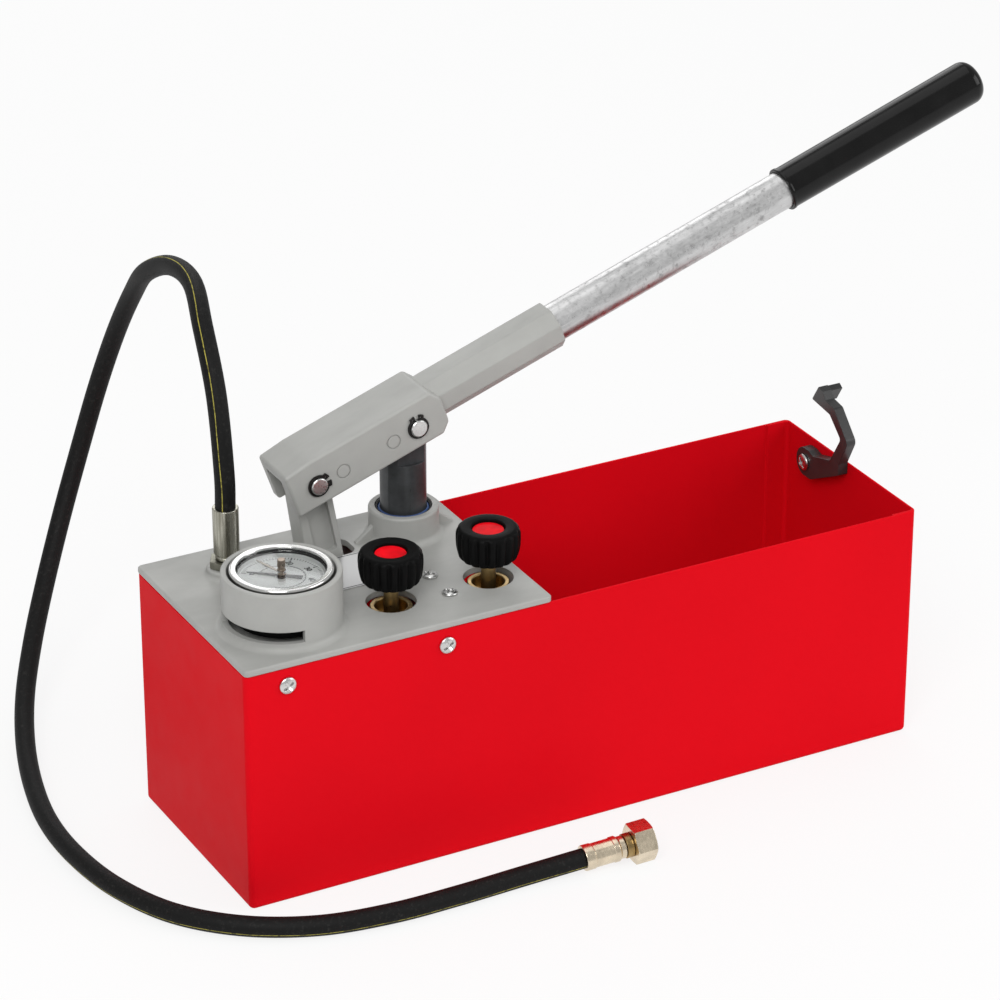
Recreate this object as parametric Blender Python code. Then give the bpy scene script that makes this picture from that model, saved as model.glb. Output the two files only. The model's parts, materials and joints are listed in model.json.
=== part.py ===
"""Hand-worked hydrostatic test pump: a water tank, a cast cover with pump, gauge and valves,
a lever that works the plunger through a rocker link, and the pressure hose.

Lengths are in metres. The origin is the middle of the tank's base on the floor, +X runs along
the tank towards the latch, +Y to the back and +Z up.
"""

import math

import bmesh
import bpy
from mathutils import Euler, Vector

# Fits, cuts and roundness
GAP = 0.0003
CUT_OVERRUN = 0.003
JOIN_OVERLAP = 0.001
WELD = 0.000001
ROUND_STEPS = 24
SMALL_STEPS = 14
SCREW_STEPS = 12
TINY_STEPS = 8
ARC_STEPS = 8
FLARE_STEPS = 2
GUARD_STEPS = 34
CORNER_STEPS = 3
SHARP_ANGLE = math.radians(32)

# Tank, folded from sheet
TANK_LENGTH = 0.515
TANK_WIDTH = 0.170
TANK_HEIGHT = 0.175
TANK_SHEET = 0.0015
TANK_CORNER_RADIUS = 0.004
TANK_BASE_RADIUS = 0.0035
SEAM_WIDTH = 0.017

# Cover casting
COVER_LENGTH = 0.226
COVER_THICKNESS = 0.0045
COVER_OVERHANG = 0.001
COVER_CORNER_RADIUS = 0.0035
COVER_EDGE_RADIUS = 0.0012
SKIRT_DEPTH = 0.020
SKIRT_WALL = 0.005
COVER_TOP = TANK_HEIGHT + GAP + COVER_THICKNESS

# Screws that hold the cover
SIDE_SCREWS_FROM_LEFT = (0.0304, 0.1472)
SIDE_SCREW_BELOW_RIM = 0.0125
SIDE_SCREW_RADIUS = 0.0024
SIDE_HEAD_RADIUS = 0.006
TOP_SCREW_FROM_LEFT = 0.1673
TOP_SCREWS_FROM_FRONT = (0.0347, 0.0634)
TOP_SCREW_RADIUS = 0.0025
TOP_HEAD_RADIUS = 0.0053
TOP_SCREW_LENGTH = 0.030
HEAD_HEIGHT = 0.0026
HEAD_CROWN_SHARE = 0.8
HEAD_EDGE_SHARE = 0.3
SCREW_CLEARANCE = 0.0004

# Pump cylinder and the boss on the cover that holds its seals
PUMP_FROM_LEFT = 0.1821
LEVER_FROM_BACK = 0.039
LEVER_FROM_FRONT = TANK_WIDTH - LEVER_FROM_BACK
PLUNGER_RADIUS = 0.016
BOSS_RADIUS = 0.0243
BOSS_HEIGHT = 0.021
BOSS_FLARE = 0.004
BOSS_EDGE_RADIUS = 0.0015
SEAL_BORE_RADIUS = 0.01975
SEAL_DEPTH = 0.010
SEAL_SPLIT_RADIUS = 0.0181
SEAL_INSET = 0.0009
WIPER_INSET = 0.0012
WIPER_SLOPE = 0.0012
WIPER_LIP = 0.0006
LOWER_BOSS_RADIUS = 0.030
LOWER_BOSS_DEPTH = 0.0148
CYLINDER_RADIUS = 0.0225
CYLINDER_ABOVE_FLOOR = 0.070
CYLINDER_BOTTOM = COVER_TOP - CYLINDER_ABOVE_FLOOR
CYLINDER_FLOOR = 0.006
CYLINDER_PORT_RADIUS = 0.004
RIB_THICKNESS = 0.004
RIB_REACH = 0.013
RIB_HEIGHT = 0.0125
RIB_ANGLES = (0, math.pi)

# Plunger, from its pin's axis
PIN_HEIGHT = 0.0883
PLUNGER_ABOVE_FLOOR = 0.034
PLUNGER_LENGTH = PIN_HEIGHT + CYLINDER_BOTTOM - CYLINDER_FLOOR - PLUNGER_ABOVE_FLOOR
TONGUE_THICKNESS = 0.025
TONGUE_RADIUS = 0.010
TONGUE_SHOULDER = 0.014
TONGUE_DEPTH = 0.0315

# Pins and their retaining rings
PIN_RADIUS = 0.006
PIN_PROUD = 0.003
PIN_CHAMFER = 0.0006
GROOVE_RADIUS = 0.0053
RING_THICKNESS = 0.001
RING_INNER_RADIUS = 0.0056
RING_OUTER_RADIUS = 0.0078
RING_EAR_RADIUS = 0.0094
RING_GAP_ANGLE = math.radians(46)
RING_EAR_ANGLE = math.radians(20)
ROCKER_RING_TURN = math.radians(35)
PLUNGER_RING_TURN = math.radians(97)

# Rocker link between the cover and the lever
PIN_SPACING = 0.0793
LEVER_ANGLE = math.radians(19.2)
ROCKER_LEAN = math.radians(11.24)
PIVOT_DEPTH = 0.01477
ROCKER_RISE = PIN_HEIGHT - PIN_SPACING * math.sin(LEVER_ANGLE) + PIVOT_DEPTH
ROCKER_LENGTH = ROCKER_RISE / math.cos(ROCKER_LEAN)
ROCKER_WIDTH = 0.026
ROCKER_THICKNESS = 0.020
ROCKER_EYE_RADIUS = 0.010
ROCKER_FOOT_RADIUS = 0.014
ROCKER_FLANGE = 0.005
ROCKER_WEB = 0.012
PIVOT_RADIUS = 0.005
PIVOT_HOLE_RADIUS = 0.0083
PIVOT_HOLE_LEFT = 0.0027
PIVOT_HOLE_BELOW = 0.0008
SLOT_LEFT = 0.0225
SLOT_RIGHT = 0.0195
SLOT_WIDTH = 0.024
SLOT_CORNER_RADIUS = 0.005
LUG_SPACING = 0.022
LUG_THICKNESS = 0.005
LUG_RADIUS = 0.011

# Lever head, from the plunger pin's axis along and across the lever
FORK_BEHIND_ROCKER_PIN = 0.020
FORK_AHEAD = 0.0227
FORK_ABOVE = 0.0195
FORK_BELOW = 0.0155
FORK_WIDTH = 0.042
FORK_EDGE_RADIUS = 0.0022
FORK_CHAMFER_LENGTH = 0.0064
FORK_CHAMFER_ABOVE = 0.0088
FORK_CHAMFER_BELOW = 0.0069
FORK_SLOT_WIDTH = 0.026
FORK_SLOT_ROOF = 0.0105
FORK_SLOT_AHEAD = 0.0181
SOCKET_END = 0.1227
SOCKET_WIDTH = 0.033
SOCKET_HEIGHT = 0.030
SOCKET_CHAMFER = 0.0087
TUBE_ABOVE_PINS = 0.0027
TUBE_RADIUS = 0.0134
TUBE_WALL = 0.002
TUBE_START = 0.0327
GRIP_START = 0.3157
GRIP_LENGTH = 0.167
GRIP_START_RADIUS = 0.0152
GRIP_END_RADIUS = 0.01575
GRIP_LIP = 0.002
GRIP_LIP_HEIGHT = 0.0005
GRIP_LIP_END = 0.003
GRIP_END_WALL = 0.012

# Pressure gauge and the guard ring cast round it
GAUGE_FROM_LEFT = 0.0507
GAUGE_FROM_FRONT = 0.0485
GUARD_RADIUS = 0.0401
GUARD_WALL = 0.0036
GUARD_HEIGHT = 0.0404
GUARD_FLARE = 0.0035
GUARD_FLARE_HEIGHT = 0.004
GUARD_EDGE_RADIUS = 0.0012
WINDOW_SILL = 0.0057
WINDOW_HEIGHT = 0.0085
WINDOW_START = math.radians(-198)
WINDOW_END = math.radians(-94)
CASE_RADIUS = 0.032
CASE_WALL = 0.0025
CASE_FLOOR = 0.003
CASE_BASE = 0.0062
CASE_HEIGHT = 0.0303
SOCKET_FLATS = 0.017
SOCKET_HOLE_RADIUS = 0.0135
SOCKET_STEM_RADIUS = 0.006
SOCKET_STEM_LENGTH = 0.010
SOCKET_BLOCK_WIDTH = 0.012
SOCKET_BLOCK_HEIGHT = 0.0135
BOURDON_RADIUS = 0.024
BOURDON_THICKNESS = 0.003
BOURDON_WIDTH = 0.0075
BOURDON_START = math.radians(-60)
BOURDON_SWEEP = math.radians(255)
MOVEMENT_RADIUS = 0.013
MOVEMENT_PLATE = 0.0013
MOVEMENT_SPACING = 0.003
MOVEMENT_POST_RADIUS = 0.002
UPPER_PLATE_RADIUS = 0.0117
DIAL_POST_OFFSET = 0.0078
ARBOR_RADIUS = 0.0012
DIAL_RADIUS = 0.029
DIAL_THICKNESS = 0.0008
DIAL_BELOW_RIM = 0.003
ARBOR_HOLE_RADIUS = 0.002
NEEDLE_ABOVE_DIAL = 0.0007
NEEDLE_THICKNESS = 0.0008
NEEDLE_LENGTH = 0.024
NEEDLE_TAIL = 0.010
NEEDLE_WIDTH = 0.0022
NEEDLE_HUB_RADIUS = 0.0034
NEEDLE_HUB_HEIGHT = 0.0012
DRAG_HAND_WIDTH = 0.0015
# A hand's half outline, as shares of its tail or length and of its half width
HAND_TAIL_SHARE = 1.2
HAND_TAPER_SHARES = (0.8, 0.6)
ZERO_MARK = math.radians(140)
DRAG_HAND_GAP = 0.001
DRAG_HAND_LENGTH = 0.025
DRAG_HAND_REST = math.radians(105.5)
STEM_RADIUS = 0.00265
STEM_HOLE_RADIUS = 0.003
STEM_NECK_RADIUS = 0.0021
STEM_HEIGHT = 0.0079
STEM_FOOT = 0.0008
STEM_HEAD = 0.0058
STEM_EDGE = 0.0004
GLASS_RADIUS = 0.0315
GLASS_THICKNESS = 0.0022
GLASS_ABOVE_RIM = 0.001
BEZEL_WALL = 0.001
BEZEL_LIP_RADIUS = 0.0298
BEZEL_LIP = 0.0025
BEZEL_SKIRT = 0.0088
BEZEL_SLOPE = 0.001
BEZEL_EDGE = 0.0008

# Valve block, hung under the cover
BLOCK_START = 0.036
BLOCK_END = 0.216
BLOCK_FRONT = 0.026
BLOCK_BACK = 0.072
BLOCK_TOP_DEPTH = 0.0198
BLOCK_HEIGHT = 0.022
BLOCK_CORNER_RADIUS = 0.003
BLOCK_ARM_WIDTH = 0.022
BLOCK_COLLAR_WALL = 0.0066
BLOCK_COLUMN_RADIUS = 0.007

# Two shut-off valves
VALVES_FROM_LEFT = (0.128, 0.2011)
VALVE_FROM_FRONT = 0.0436
VALVE_HOLE_RADIUS = 0.017
VALVE_BORE_RADIUS = 0.010
VALVE_BORE_DEPTH = 0.012
SEAT_RADIUS = 0.003
SEAT_DEPTH = 0.007
GLAND_RADIUS = 0.0144
GLAND_BELOW_COVER = 0.0028
GLAND_SPIGOT = 0.006
GLAND_CUP_RADIUS = 0.011
GLAND_CUP_DEPTH = 0.009
SPINDLE_RADIUS = 0.005
CONE_RADIUS = 0.0042
CONE_TIP_RADIUS = 0.001
CONE_LENGTH = 0.004
CONE_SHANK = 0.002
CONE_TIP_DEPTH = 0.002
KNOB_RADIUS = 0.0218
KNOB_HEIGHT = 0.023
KNOB_LIFT = 0.015
KNOB_RIBS = 18
KNOB_GROOVE = 0.0022
KNOB_SOCKET_DEPTH = 0.012
DISC_RADIUS = 0.0107
DISC_THICKNESS = 0.0008
DISC_RECESS = 0.0018
# Height, radius and groove depth of the knob's rings, as shares of its height, radius and groove
KNOB_SHARES = (
    (0.00, 0.80, 0.6), (0.10, 0.90, 1.0), (0.55, 0.995, 1.0), (0.76, 1.0, 0.6),
    (0.90, 0.93, 0.0), (1.00, 0.80, 0.0))
# Groove depth at the points of each rib, as shares
RIB_SHARES = (1.0, 0.1, 0.1)

# Suction and return pipes in the tank
SUCTION_PIPE_RADIUS = 0.009
SUCTION_PIPE_LENGTH = 0.030
SUCTION_BORE_RADIUS = 0.006
SUCTION_NUT_FLATS = 0.024
SUCTION_NUT_HEIGHT = 0.008
STRAINER_RADIUS = 0.014
STRAINER_WALL = 0.0015
STRAINER_FLOOR_GAP = 0.0085
STRAINER_SLOT_WIDTH = 0.0025
STRAINER_SLOTS = 6
RETURN_PIPE_RADIUS = 0.005
RETURN_PIPE_WALL = 0.001
RETURN_PIPE_LENGTH = 0.060
RETURN_PIPE_INSET = 0.006

# Hose and its fittings
HOSE_FROM_LEFT = 0.050
HOSE_FROM_BACK = 0.037
HOSE_FROM_FRONT = TANK_WIDTH - HOSE_FROM_BACK
HOSE_RADIUS = 0.007
HOSE_POINT_SPACING = 0.032
HOSE_CURVE_STEPS = 12
OUTLET_PAD_RADIUS = 0.014
OUTLET_PAD_HEIGHT = 0.002
OUTLET_HOLE_RADIUS = 0.008
HOSE_NUT_FLATS = 0.022
HOSE_NUT_HEIGHT = 0.008
HOSE_STEM_RADIUS = 0.0065
HOSE_STEM_LENGTH = 0.030
FERRULE_RADIUS = 0.009
FERRULE_LENGTH = 0.0361
FERRULE_CRIMP = 0.0005
FERRULE_NECK_RADIUS = 0.0078
FERRULE_NECK = 0.005
FERRULE_WAIST_SHARES = (0.30, 0.76)
END_FERRULE_LENGTH = 0.030
NIPPLE_RADIUS = 0.0085
NIPPLE_COLLAR = 0.005
NIPPLE_NECK_RADIUS = 0.007
NIPPLE_HEAD_RADIUS = 0.0095
NIPPLE_BORE_RADIUS = 0.003
UNION_FLATS = 0.025
UNION_LENGTH = 0.0145
UNION_WALL = 0.004
UNION_BORE_RADIUS = 0.0103
UNION_CHAMFER = 0.0014

# Points of the hose's centre line, chosen by eye along its lie
HOSE_ROUTE = (
    (-0.2075, 0.0480, 0.2268),
    (-0.2075, 0.0480, 0.2540),
    (-0.2055, 0.0610, 0.3040),
    (-0.1985, 0.0950, 0.3390),
    (-0.1845, 0.1420, 0.3510),
    (-0.1785, 0.1910, 0.3440),
    (-0.1775, 0.2360, 0.3220),
    (-0.1725, 0.2740, 0.2900),
    (-0.1745, 0.3030, 0.2490),
    (-0.1835, 0.3190, 0.2030),
    (-0.1985, 0.3220, 0.1550),
    (-0.2195, 0.3110, 0.1110),
    (-0.2445, 0.2870, 0.0730),
    (-0.2695, 0.2540, 0.0460),
    (-0.2935, 0.2130, 0.0270),
    (-0.3125, 0.1680, 0.0160),
    (-0.3265, 0.1210, 0.0100),
    (-0.3355, 0.0720, 0.0080),
    (-0.3365, 0.0220, 0.0080),
    (-0.3285, -0.0280, 0.0080),
    (-0.3085, -0.0740, 0.0075),
    (-0.2745, -0.1100, 0.0075),
    (-0.2305, -0.1330, 0.0075),
    (-0.1815, -0.1420, 0.0075),
    (-0.1315, -0.1430, 0.0075),
    (-0.0855, -0.1414, 0.0073),
    (-0.0405, -0.1448, 0.0104),
)

# Transport latch at the tank's right end
LATCH_FROM_FRONT = LEVER_FROM_FRONT
LATCH_BELOW_RIM = 0.016
LATCH_REACH = 0.055
LATCH_RISE = 0.0656
LATCH_THICKNESS = 0.0075
LATCH_BOSS_RADIUS = 0.0108
LATCH_CORNER_RADIUS = 0.002
LATCH_TAB_WIDTH = 0.017
LATCH_TAB_THICKNESS = 0.005
LATCH_SCREW_RADIUS = 0.003
LATCH_HEAD_RADIUS = 0.006
LATCH_NUT_FLATS = 0.010
LATCH_NUT_HEIGHT = 0.0045
LATCH_BOLT_PROUD = 0.0015
LATCH_TAB_INSET = 0.0002
# Outline of the latch's hook as shares of its reach to the front and its rise above the pivot,
# with each corner's radius as a share of the usual corner radius
LATCH_SHARES = (
    (0.60, 0.229, 1.5), (0.829, 0.556, 1.5), (0.5545, 0.762, 0.8), (0.127, 0.805, 0.4),
    (0.273, 1.000, 0.6), (0.371, 0.976, 0.6), (0.4545, 0.892, 0.8), (0.6545, 0.866, 1.5),
    (1.000, 0.564, 2.5), (0.818, 0.259, 1.5), (0.818, 0.122, 0.8))
LATCH_TAB_TOP_CORNER = 4
LATCH_TAB_TIP_CORNER = 3
# Outline of the latch's boss as shares of its radius, with each corner's radius
LATCH_BOSS_SHARES = (
    (-0.75, -1.0, 0.6), (1.0, -1.0, 0.95), (1.0, 1.0, 0.95), (-0.45, 1.0, 0.4), (-1.0, 0.82, 0.3))

# Colour, roughness and metallic value of each finish
FINISHES = {
    "red_paint": ((0.70, 0.008, 0.012), 0.38, 0.0),
    "grey_paint": ((0.38, 0.375, 0.36), 0.45, 0.0),
    "dark_steel": ((0.045, 0.050, 0.056), 0.30, 0.6),
    "zinc_steel": ((0.62, 0.62, 0.61), 0.28, 1.0),
    "stainless": ((0.66, 0.66, 0.65), 0.18, 1.0),
    "aluminium": ((0.58, 0.58, 0.57), 0.42, 1.0),
    "brass": ((0.55, 0.37, 0.16), 0.30, 1.0),
    "nickel": ((0.60, 0.57, 0.48), 0.26, 1.0),
    "spring_steel": ((0.02, 0.02, 0.02), 0.40, 0.8),
    "black_plastic": ((0.012, 0.012, 0.012), 0.42, 0.0),
    "gloss_black": ((0.006, 0.006, 0.006), 0.12, 0.0),
    "red_plastic": ((0.72, 0.01, 0.015), 0.30, 0.0),
    "black_rubber": ((0.014, 0.014, 0.014), 0.65, 0.0),
    "blue_seal": ((0.05, 0.12, 0.35), 0.45, 0.0),
    "dial_white": ((0.82, 0.82, 0.80), 0.50, 0.0),
    "clear_glass": ((0.90, 0.93, 0.93), 0.04, 0.0),
}


def clear_scene():
    for piece in list(bpy.data.objects):
        bpy.data.objects.remove(piece)


def finish(name):
    """Material of a finish, made once."""
    if name in bpy.data.materials:
        return bpy.data.materials[name]
    colour, roughness, metallic = FINISHES[name]
    made = bpy.data.materials.new(name)
    made.use_nodes = True
    shader = made.node_tree.nodes["Principled BSDF"]
    shader.inputs["Base Color"].default_value = (*colour, 1)
    shader.inputs["Roughness"].default_value = roughness
    shader.inputs["Metallic"].default_value = metallic
    made.diffuse_color = (*colour, 1)
    return made


def arc(centre, radius, start, end, steps=ARC_STEPS):
    """Points along an arc, both ends included."""
    x, y = centre
    turns = [start + (end - start) * step / steps for step in range(steps + 1)]
    return [(x + radius * math.cos(turn), y + radius * math.sin(turn)) for turn in turns]


def band(inner, outer, start, end, steps):
    """Outline of a flat band that follows an arc about the origin."""
    return arc((0, 0), outer, start, end, steps) + arc((0, 0), inner, end, start, steps)


def rounded(corners, steps=CORNER_STEPS):
    """Outline through (x, y, radius) corners, each with an arc of its radius."""
    outline = []
    for index, (x, y, radius) in enumerate(corners):
        corner = Vector((x, y))
        before = (Vector(corners[index - 1][:2]) - corner).normalized()
        after = (Vector(corners[(index + 1) % len(corners)][:2]) - corner).normalized()
        if not radius:
            outline.append((x, y))
            continue
        half = before.angle(after) / 2
        centre = corner + (before + after).normalized() * radius / math.sin(half)
        leg = radius / math.tan(half)
        first = corner + before * leg - centre
        last = corner + after * leg - centre
        start = math.atan2(first.y, first.x)
        turn = math.atan2(first.cross(last), first.dot(last))
        outline += arc(centre, radius, start, start + turn, steps)
    return outline


def rectangle(left, right, front, back, radius=0.0):
    """Rectangle's outline with equal round corners."""
    corners = ((left, front), (right, front), (right, back), (left, back))
    return rounded([(x, y, radius) for x, y in corners])


def hexagon(flats):
    """Hexagon's outline with one flat square to +Y."""
    return arc((0, 0), flats / math.sqrt(3), 0, math.tau * 5 / 6, 5)


def faced_out(shape):
    """The same shape with every face pointing out."""
    shape.normal_update()
    bmesh.ops.recalc_face_normals(shape, faces=shape.faces)
    return shape


def prism(outline, low, high):
    """Closed solid with an XY outline, from one height to another."""
    shape = bmesh.new()
    base = shape.faces.new([shape.verts.new((x, y, low)) for x, y in outline])
    grown = bmesh.ops.extrude_face_region(shape, geom=[base])["geom"]
    for vertex in grown:
        if isinstance(vertex, bmesh.types.BMVert):
            vertex.co.z = high
    return faced_out(shape)


def turned(profile, steps=ROUND_STEPS):
    """Solid turned about Z from (radius, height) points; a profile off the axis closes itself."""
    shape = bmesh.new()
    line = [shape.verts.new((radius, 0, height)) for radius, height in profile]
    pairs = list(zip(line, line[1:]))
    if profile[0][0] > 0:
        pairs.append((line[-1], line[0]))
    edges = [shape.edges.new(pair) for pair in pairs]
    bmesh.ops.spin(shape, geom=line + edges, cent=(0, 0, 0), axis=(0, 0, 1), dvec=(0, 0, 0),
                   angle=math.tau, steps=steps, use_merge=True, use_duplicate=False)
    bmesh.ops.remove_doubles(shape, verts=shape.verts, dist=WELD)
    return faced_out(shape)


def rod(radius, low, high, steps=SCREW_STEPS):
    return turned(((0, high), (radius, high), (radius, low), (0, low)), steps)


def tube(inner, outer, low, high, steps=ROUND_STEPS):
    return turned(((outer, high), (outer, low), (inner, low), (inner, high)), steps)


def loft(rings):
    """Closed solid through rings of equally many points, capped at both ends."""
    shape = bmesh.new()
    rows = [[shape.verts.new(point) for point in ring] for ring in rings]
    for low, high in zip(rows, rows[1:]):
        for index in range(len(low)):
            after = (index + 1) % len(low)
            shape.faces.new((low[index], low[after], high[after], high[index]))
    shape.faces.new(rows[0])
    shape.faces.new(rows[-1])
    return faced_out(shape)


def laid(shape, axis):
    """Stand a shape's Z along X or Y; its outline then lies in YZ or XZ."""
    for vertex in shape.verts:
        x, y, z = vertex.co
        vertex.co = (z, x, y) if axis == "X" else (x, z, y)
    return faced_out(shape)


def moved(shape, x=0.0, y=0.0, z=0.0):
    bmesh.ops.translate(shape, verts=shape.verts, vec=(x, y, z))
    return shape


def spun(shape, angle):
    """The same shape turned about Z."""
    turn = Euler((0, 0, angle)).to_matrix()
    bmesh.ops.rotate(shape, verts=shape.verts, cent=(0, 0, 0), matrix=turn)
    return shape


def softened(shape, radius, keep=None, steps=FLARE_STEPS):
    """Round the edges for which keep is true, or all of them."""
    edges = [edge for edge in shape.edges if keep is None or keep(edge)]
    bmesh.ops.bevel(shape, geom=edges, offset=radius, segments=steps, profile=0.5,
                    affect="EDGES", clamp_overlap=True)
    return shape


def merged(*shapes):
    """One mesh that holds several separate shapes."""
    whole = bmesh.new()
    for shape in shapes:
        mesh = bpy.data.meshes.new("part_of_shape")
        shape.to_mesh(mesh)
        shape.free()
        whole.from_mesh(mesh)
        bpy.data.meshes.remove(mesh)
    return whole


def mount(parent_name, place=(0, 0, 0), turn=(0, 0, 0), parent=None):
    """Empty that carries pieces at a place."""
    carrier = bpy.data.objects.new(parent_name, None)
    bpy.context.collection.objects.link(carrier)
    carrier.location = place
    carrier.rotation_euler = turn
    carrier.parent = parent
    return carrier


def piece(name, shape, surface, parent=None, place=(0, 0, 0), turn=(0, 0, 0)):
    """Named object with its own mesh and finish."""
    mesh = bpy.data.meshes.new(name)
    shape.to_mesh(mesh)
    shape.free()
    mesh.materials.append(finish(surface))
    mesh.shade_smooth()
    mesh.set_sharp_from_angle(angle=SHARP_ANGLE)
    made = bpy.data.objects.new(name, mesh)
    bpy.context.collection.objects.link(made)
    made.parent = parent
    made.location = place
    made.rotation_euler = turn
    return made


def combine(target, label, shape, operation):
    """Add a hidden tool shape in the target's own axes and a Boolean that uses it."""
    mesh = bpy.data.meshes.new(f"{target.name}_{label}")
    shape.to_mesh(mesh)
    shape.free()
    tool = bpy.data.objects.new(mesh.name, mesh)
    bpy.context.collection.objects.link(tool)
    tool.parent = target.parent
    tool.location = target.location
    tool.rotation_euler = target.rotation_euler
    tool.hide_render = True
    tool.display_type = "WIRE"
    step = target.modifiers.new(label, "BOOLEAN")
    step.operation = operation
    step.object = tool
    step.solver = "EXACT"


def cut(target, label, shape):
    combine(target, label, shape, "DIFFERENCE")


def join(target, label, shape):
    combine(target, label, shape, "UNION")


def tank():
    """Open tank folded from sheet, with the lapped seams of its end walls inside."""
    half_length = TANK_LENGTH / 2
    half_width = TANK_WIDTH / 2
    outline = rectangle(-half_length, half_length, -half_width, half_width, TANK_CORNER_RADIUS)
    shell = prism(outline, 0, TANK_HEIGHT)
    softened(shell, TANK_BASE_RADIUS, lambda edge: all(v.co.z == 0 for v in edge.verts))
    body = piece("tank", shell, "red_paint")

    inner_x = half_length - TANK_SHEET
    inner_y = half_width - TANK_SHEET
    lapped_y = inner_y - TANK_SHEET
    seam_x = inner_x - SEAM_WIDTH
    inside_radius = TANK_CORNER_RADIUS - TANK_SHEET
    corners = []
    for side_x, side_y in ((1, 1), (-1, 1), (-1, -1), (1, -1)):
        steps = [(side_x * inner_x, side_y * lapped_y, inside_radius),
                 (side_x * seam_x, side_y * lapped_y, 0),
                 (side_x * seam_x, side_y * inner_y, 0)]
        corners += steps if side_x * side_y > 0 else steps[::-1]
    room = prism(rounded(corners), TANK_SHEET, TANK_HEIGHT + CUT_OVERRUN)
    cut(body, "room", room)

    screw_height = TANK_HEIGHT - SIDE_SCREW_BELOW_RIM
    hole_radius = SIDE_SCREW_RADIUS + SCREW_CLEARANCE
    across = TANK_WIDTH / 2 + CUT_OVERRUN
    holes = [moved(laid(rod(hole_radius, -across, across), "Y"), from_left(x), 0, screw_height)
             for x in SIDE_SCREWS_FROM_LEFT]
    bolt_hole = laid(rod(LATCH_SCREW_RADIUS + SCREW_CLEARANCE, 0, TANK_LENGTH), "X")
    holes.append(moved(bolt_hole, 0, from_front(LATCH_FROM_FRONT), TANK_HEIGHT - LATCH_BELOW_RIM))
    cut(body, "holes", merged(*holes))
    return body


def from_left(distance):
    return distance - TANK_LENGTH / 2


def from_front(distance):
    return distance - TANK_WIDTH / 2


def rocker_pin():
    """Rocker pin's place in the cover's axes, as distance from the left and height."""
    return (PUMP_FROM_LEFT - PIN_SPACING * math.cos(LEVER_ANGLE),
            PIN_HEIGHT - PIN_SPACING * math.sin(LEVER_ANGLE))


def rocker_pivot():
    """Place of the pin that holds the rocker's foot under the cover."""
    x, z = rocker_pin()
    return x + ROCKER_LENGTH * math.sin(ROCKER_LEAN), z - ROCKER_LENGTH * math.cos(ROCKER_LEAN)


def cover(deck):
    """Cast cover with its skirt, gauge guard, pump boss and the lugs of the rocker."""
    top_edge = -COVER_EDGE_RADIUS / 2
    outline = rectangle(0, COVER_LENGTH, -COVER_OVERHANG, TANK_WIDTH + COVER_OVERHANG,
                        COVER_CORNER_RADIUS)
    plate = prism(outline, -COVER_THICKNESS, 0)
    softened(plate, COVER_EDGE_RADIUS, lambda edge: all(v.co.z > top_edge for v in edge.verts))
    body = piece("cover_plate", plate, "grey_paint", deck)

    inset = TANK_SHEET * 2 + GAP
    skirt = prism(rectangle(inset, COVER_LENGTH - inset, inset, TANK_WIDTH - inset, COVER_CORNER_RADIUS),
                  -COVER_THICKNESS - SKIRT_DEPTH, -COVER_THICKNESS + JOIN_OVERLAP)
    join(body, "skirt", skirt)
    wall = inset + SKIRT_WALL
    hollow = prism(rectangle(wall, COVER_LENGTH - wall, wall, TANK_WIDTH - wall, COVER_CORNER_RADIUS),
                   -COVER_THICKNESS - SKIRT_DEPTH - CUT_OVERRUN, -COVER_THICKNESS)
    cut(body, "hollow", hollow)

    join(body, "bosses", merged(gauge_guard(), pump_boss(), outlet_pad()))
    for number, angle in enumerate(RIB_ANGLES, 1):
        join(body, f"rib_{number}", boss_rib(angle))
    for number, side in enumerate((-1, 1), 1):
        join(body, f"lug_{number}", pivot_lug(side))
    cut(body, "window", guard_window())
    cut(body, "openings", cover_openings())
    cut(body, "pump_bore", pump_bore())
    cut(body, "cross_holes", cover_cross_holes())
    return body


def gauge_guard():
    """Ring round the gauge, flared where it meets the cover."""
    inner = GUARD_RADIUS - GUARD_WALL
    flare = arc((GUARD_RADIUS + GUARD_FLARE, GUARD_FLARE_HEIGHT), GUARD_FLARE, math.pi, math.pi * 1.5,
                FLARE_STEPS)
    profile = [(inner, GUARD_HEIGHT),
               (GUARD_RADIUS - GUARD_EDGE_RADIUS, GUARD_HEIGHT),
               (GUARD_RADIUS, GUARD_HEIGHT - GUARD_EDGE_RADIUS),
               *flare,
               (GUARD_RADIUS + GUARD_FLARE, -COVER_THICKNESS / 2),
               (inner, -COVER_THICKNESS / 2)]
    return moved(turned(profile, GUARD_STEPS), GAUGE_FROM_LEFT, GAUGE_FROM_FRONT)


def pump_boss():
    """Boss that holds the plunger's seals, with its seat for the cylinder below the cover."""
    flare = arc((BOSS_RADIUS + BOSS_FLARE, BOSS_FLARE), BOSS_FLARE, math.pi, math.pi * 1.5, FLARE_STEPS)
    profile = [(0, BOSS_HEIGHT),
               (BOSS_RADIUS - BOSS_EDGE_RADIUS, BOSS_HEIGHT),
               (BOSS_RADIUS, BOSS_HEIGHT - BOSS_EDGE_RADIUS),
               *flare,
               (LOWER_BOSS_RADIUS, -COVER_THICKNESS / 2),
               (LOWER_BOSS_RADIUS, -LOWER_BOSS_DEPTH),
               (0, -LOWER_BOSS_DEPTH)]
    return moved(turned(profile), PUMP_FROM_LEFT, LEVER_FROM_FRONT)


def outlet_pad():
    """Low round pad under the hose's nut."""
    pad = rod(OUTLET_PAD_RADIUS, -COVER_THICKNESS / 2, OUTLET_PAD_HEIGHT)
    return moved(pad, HOSE_FROM_LEFT, HOSE_FROM_FRONT)


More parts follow.
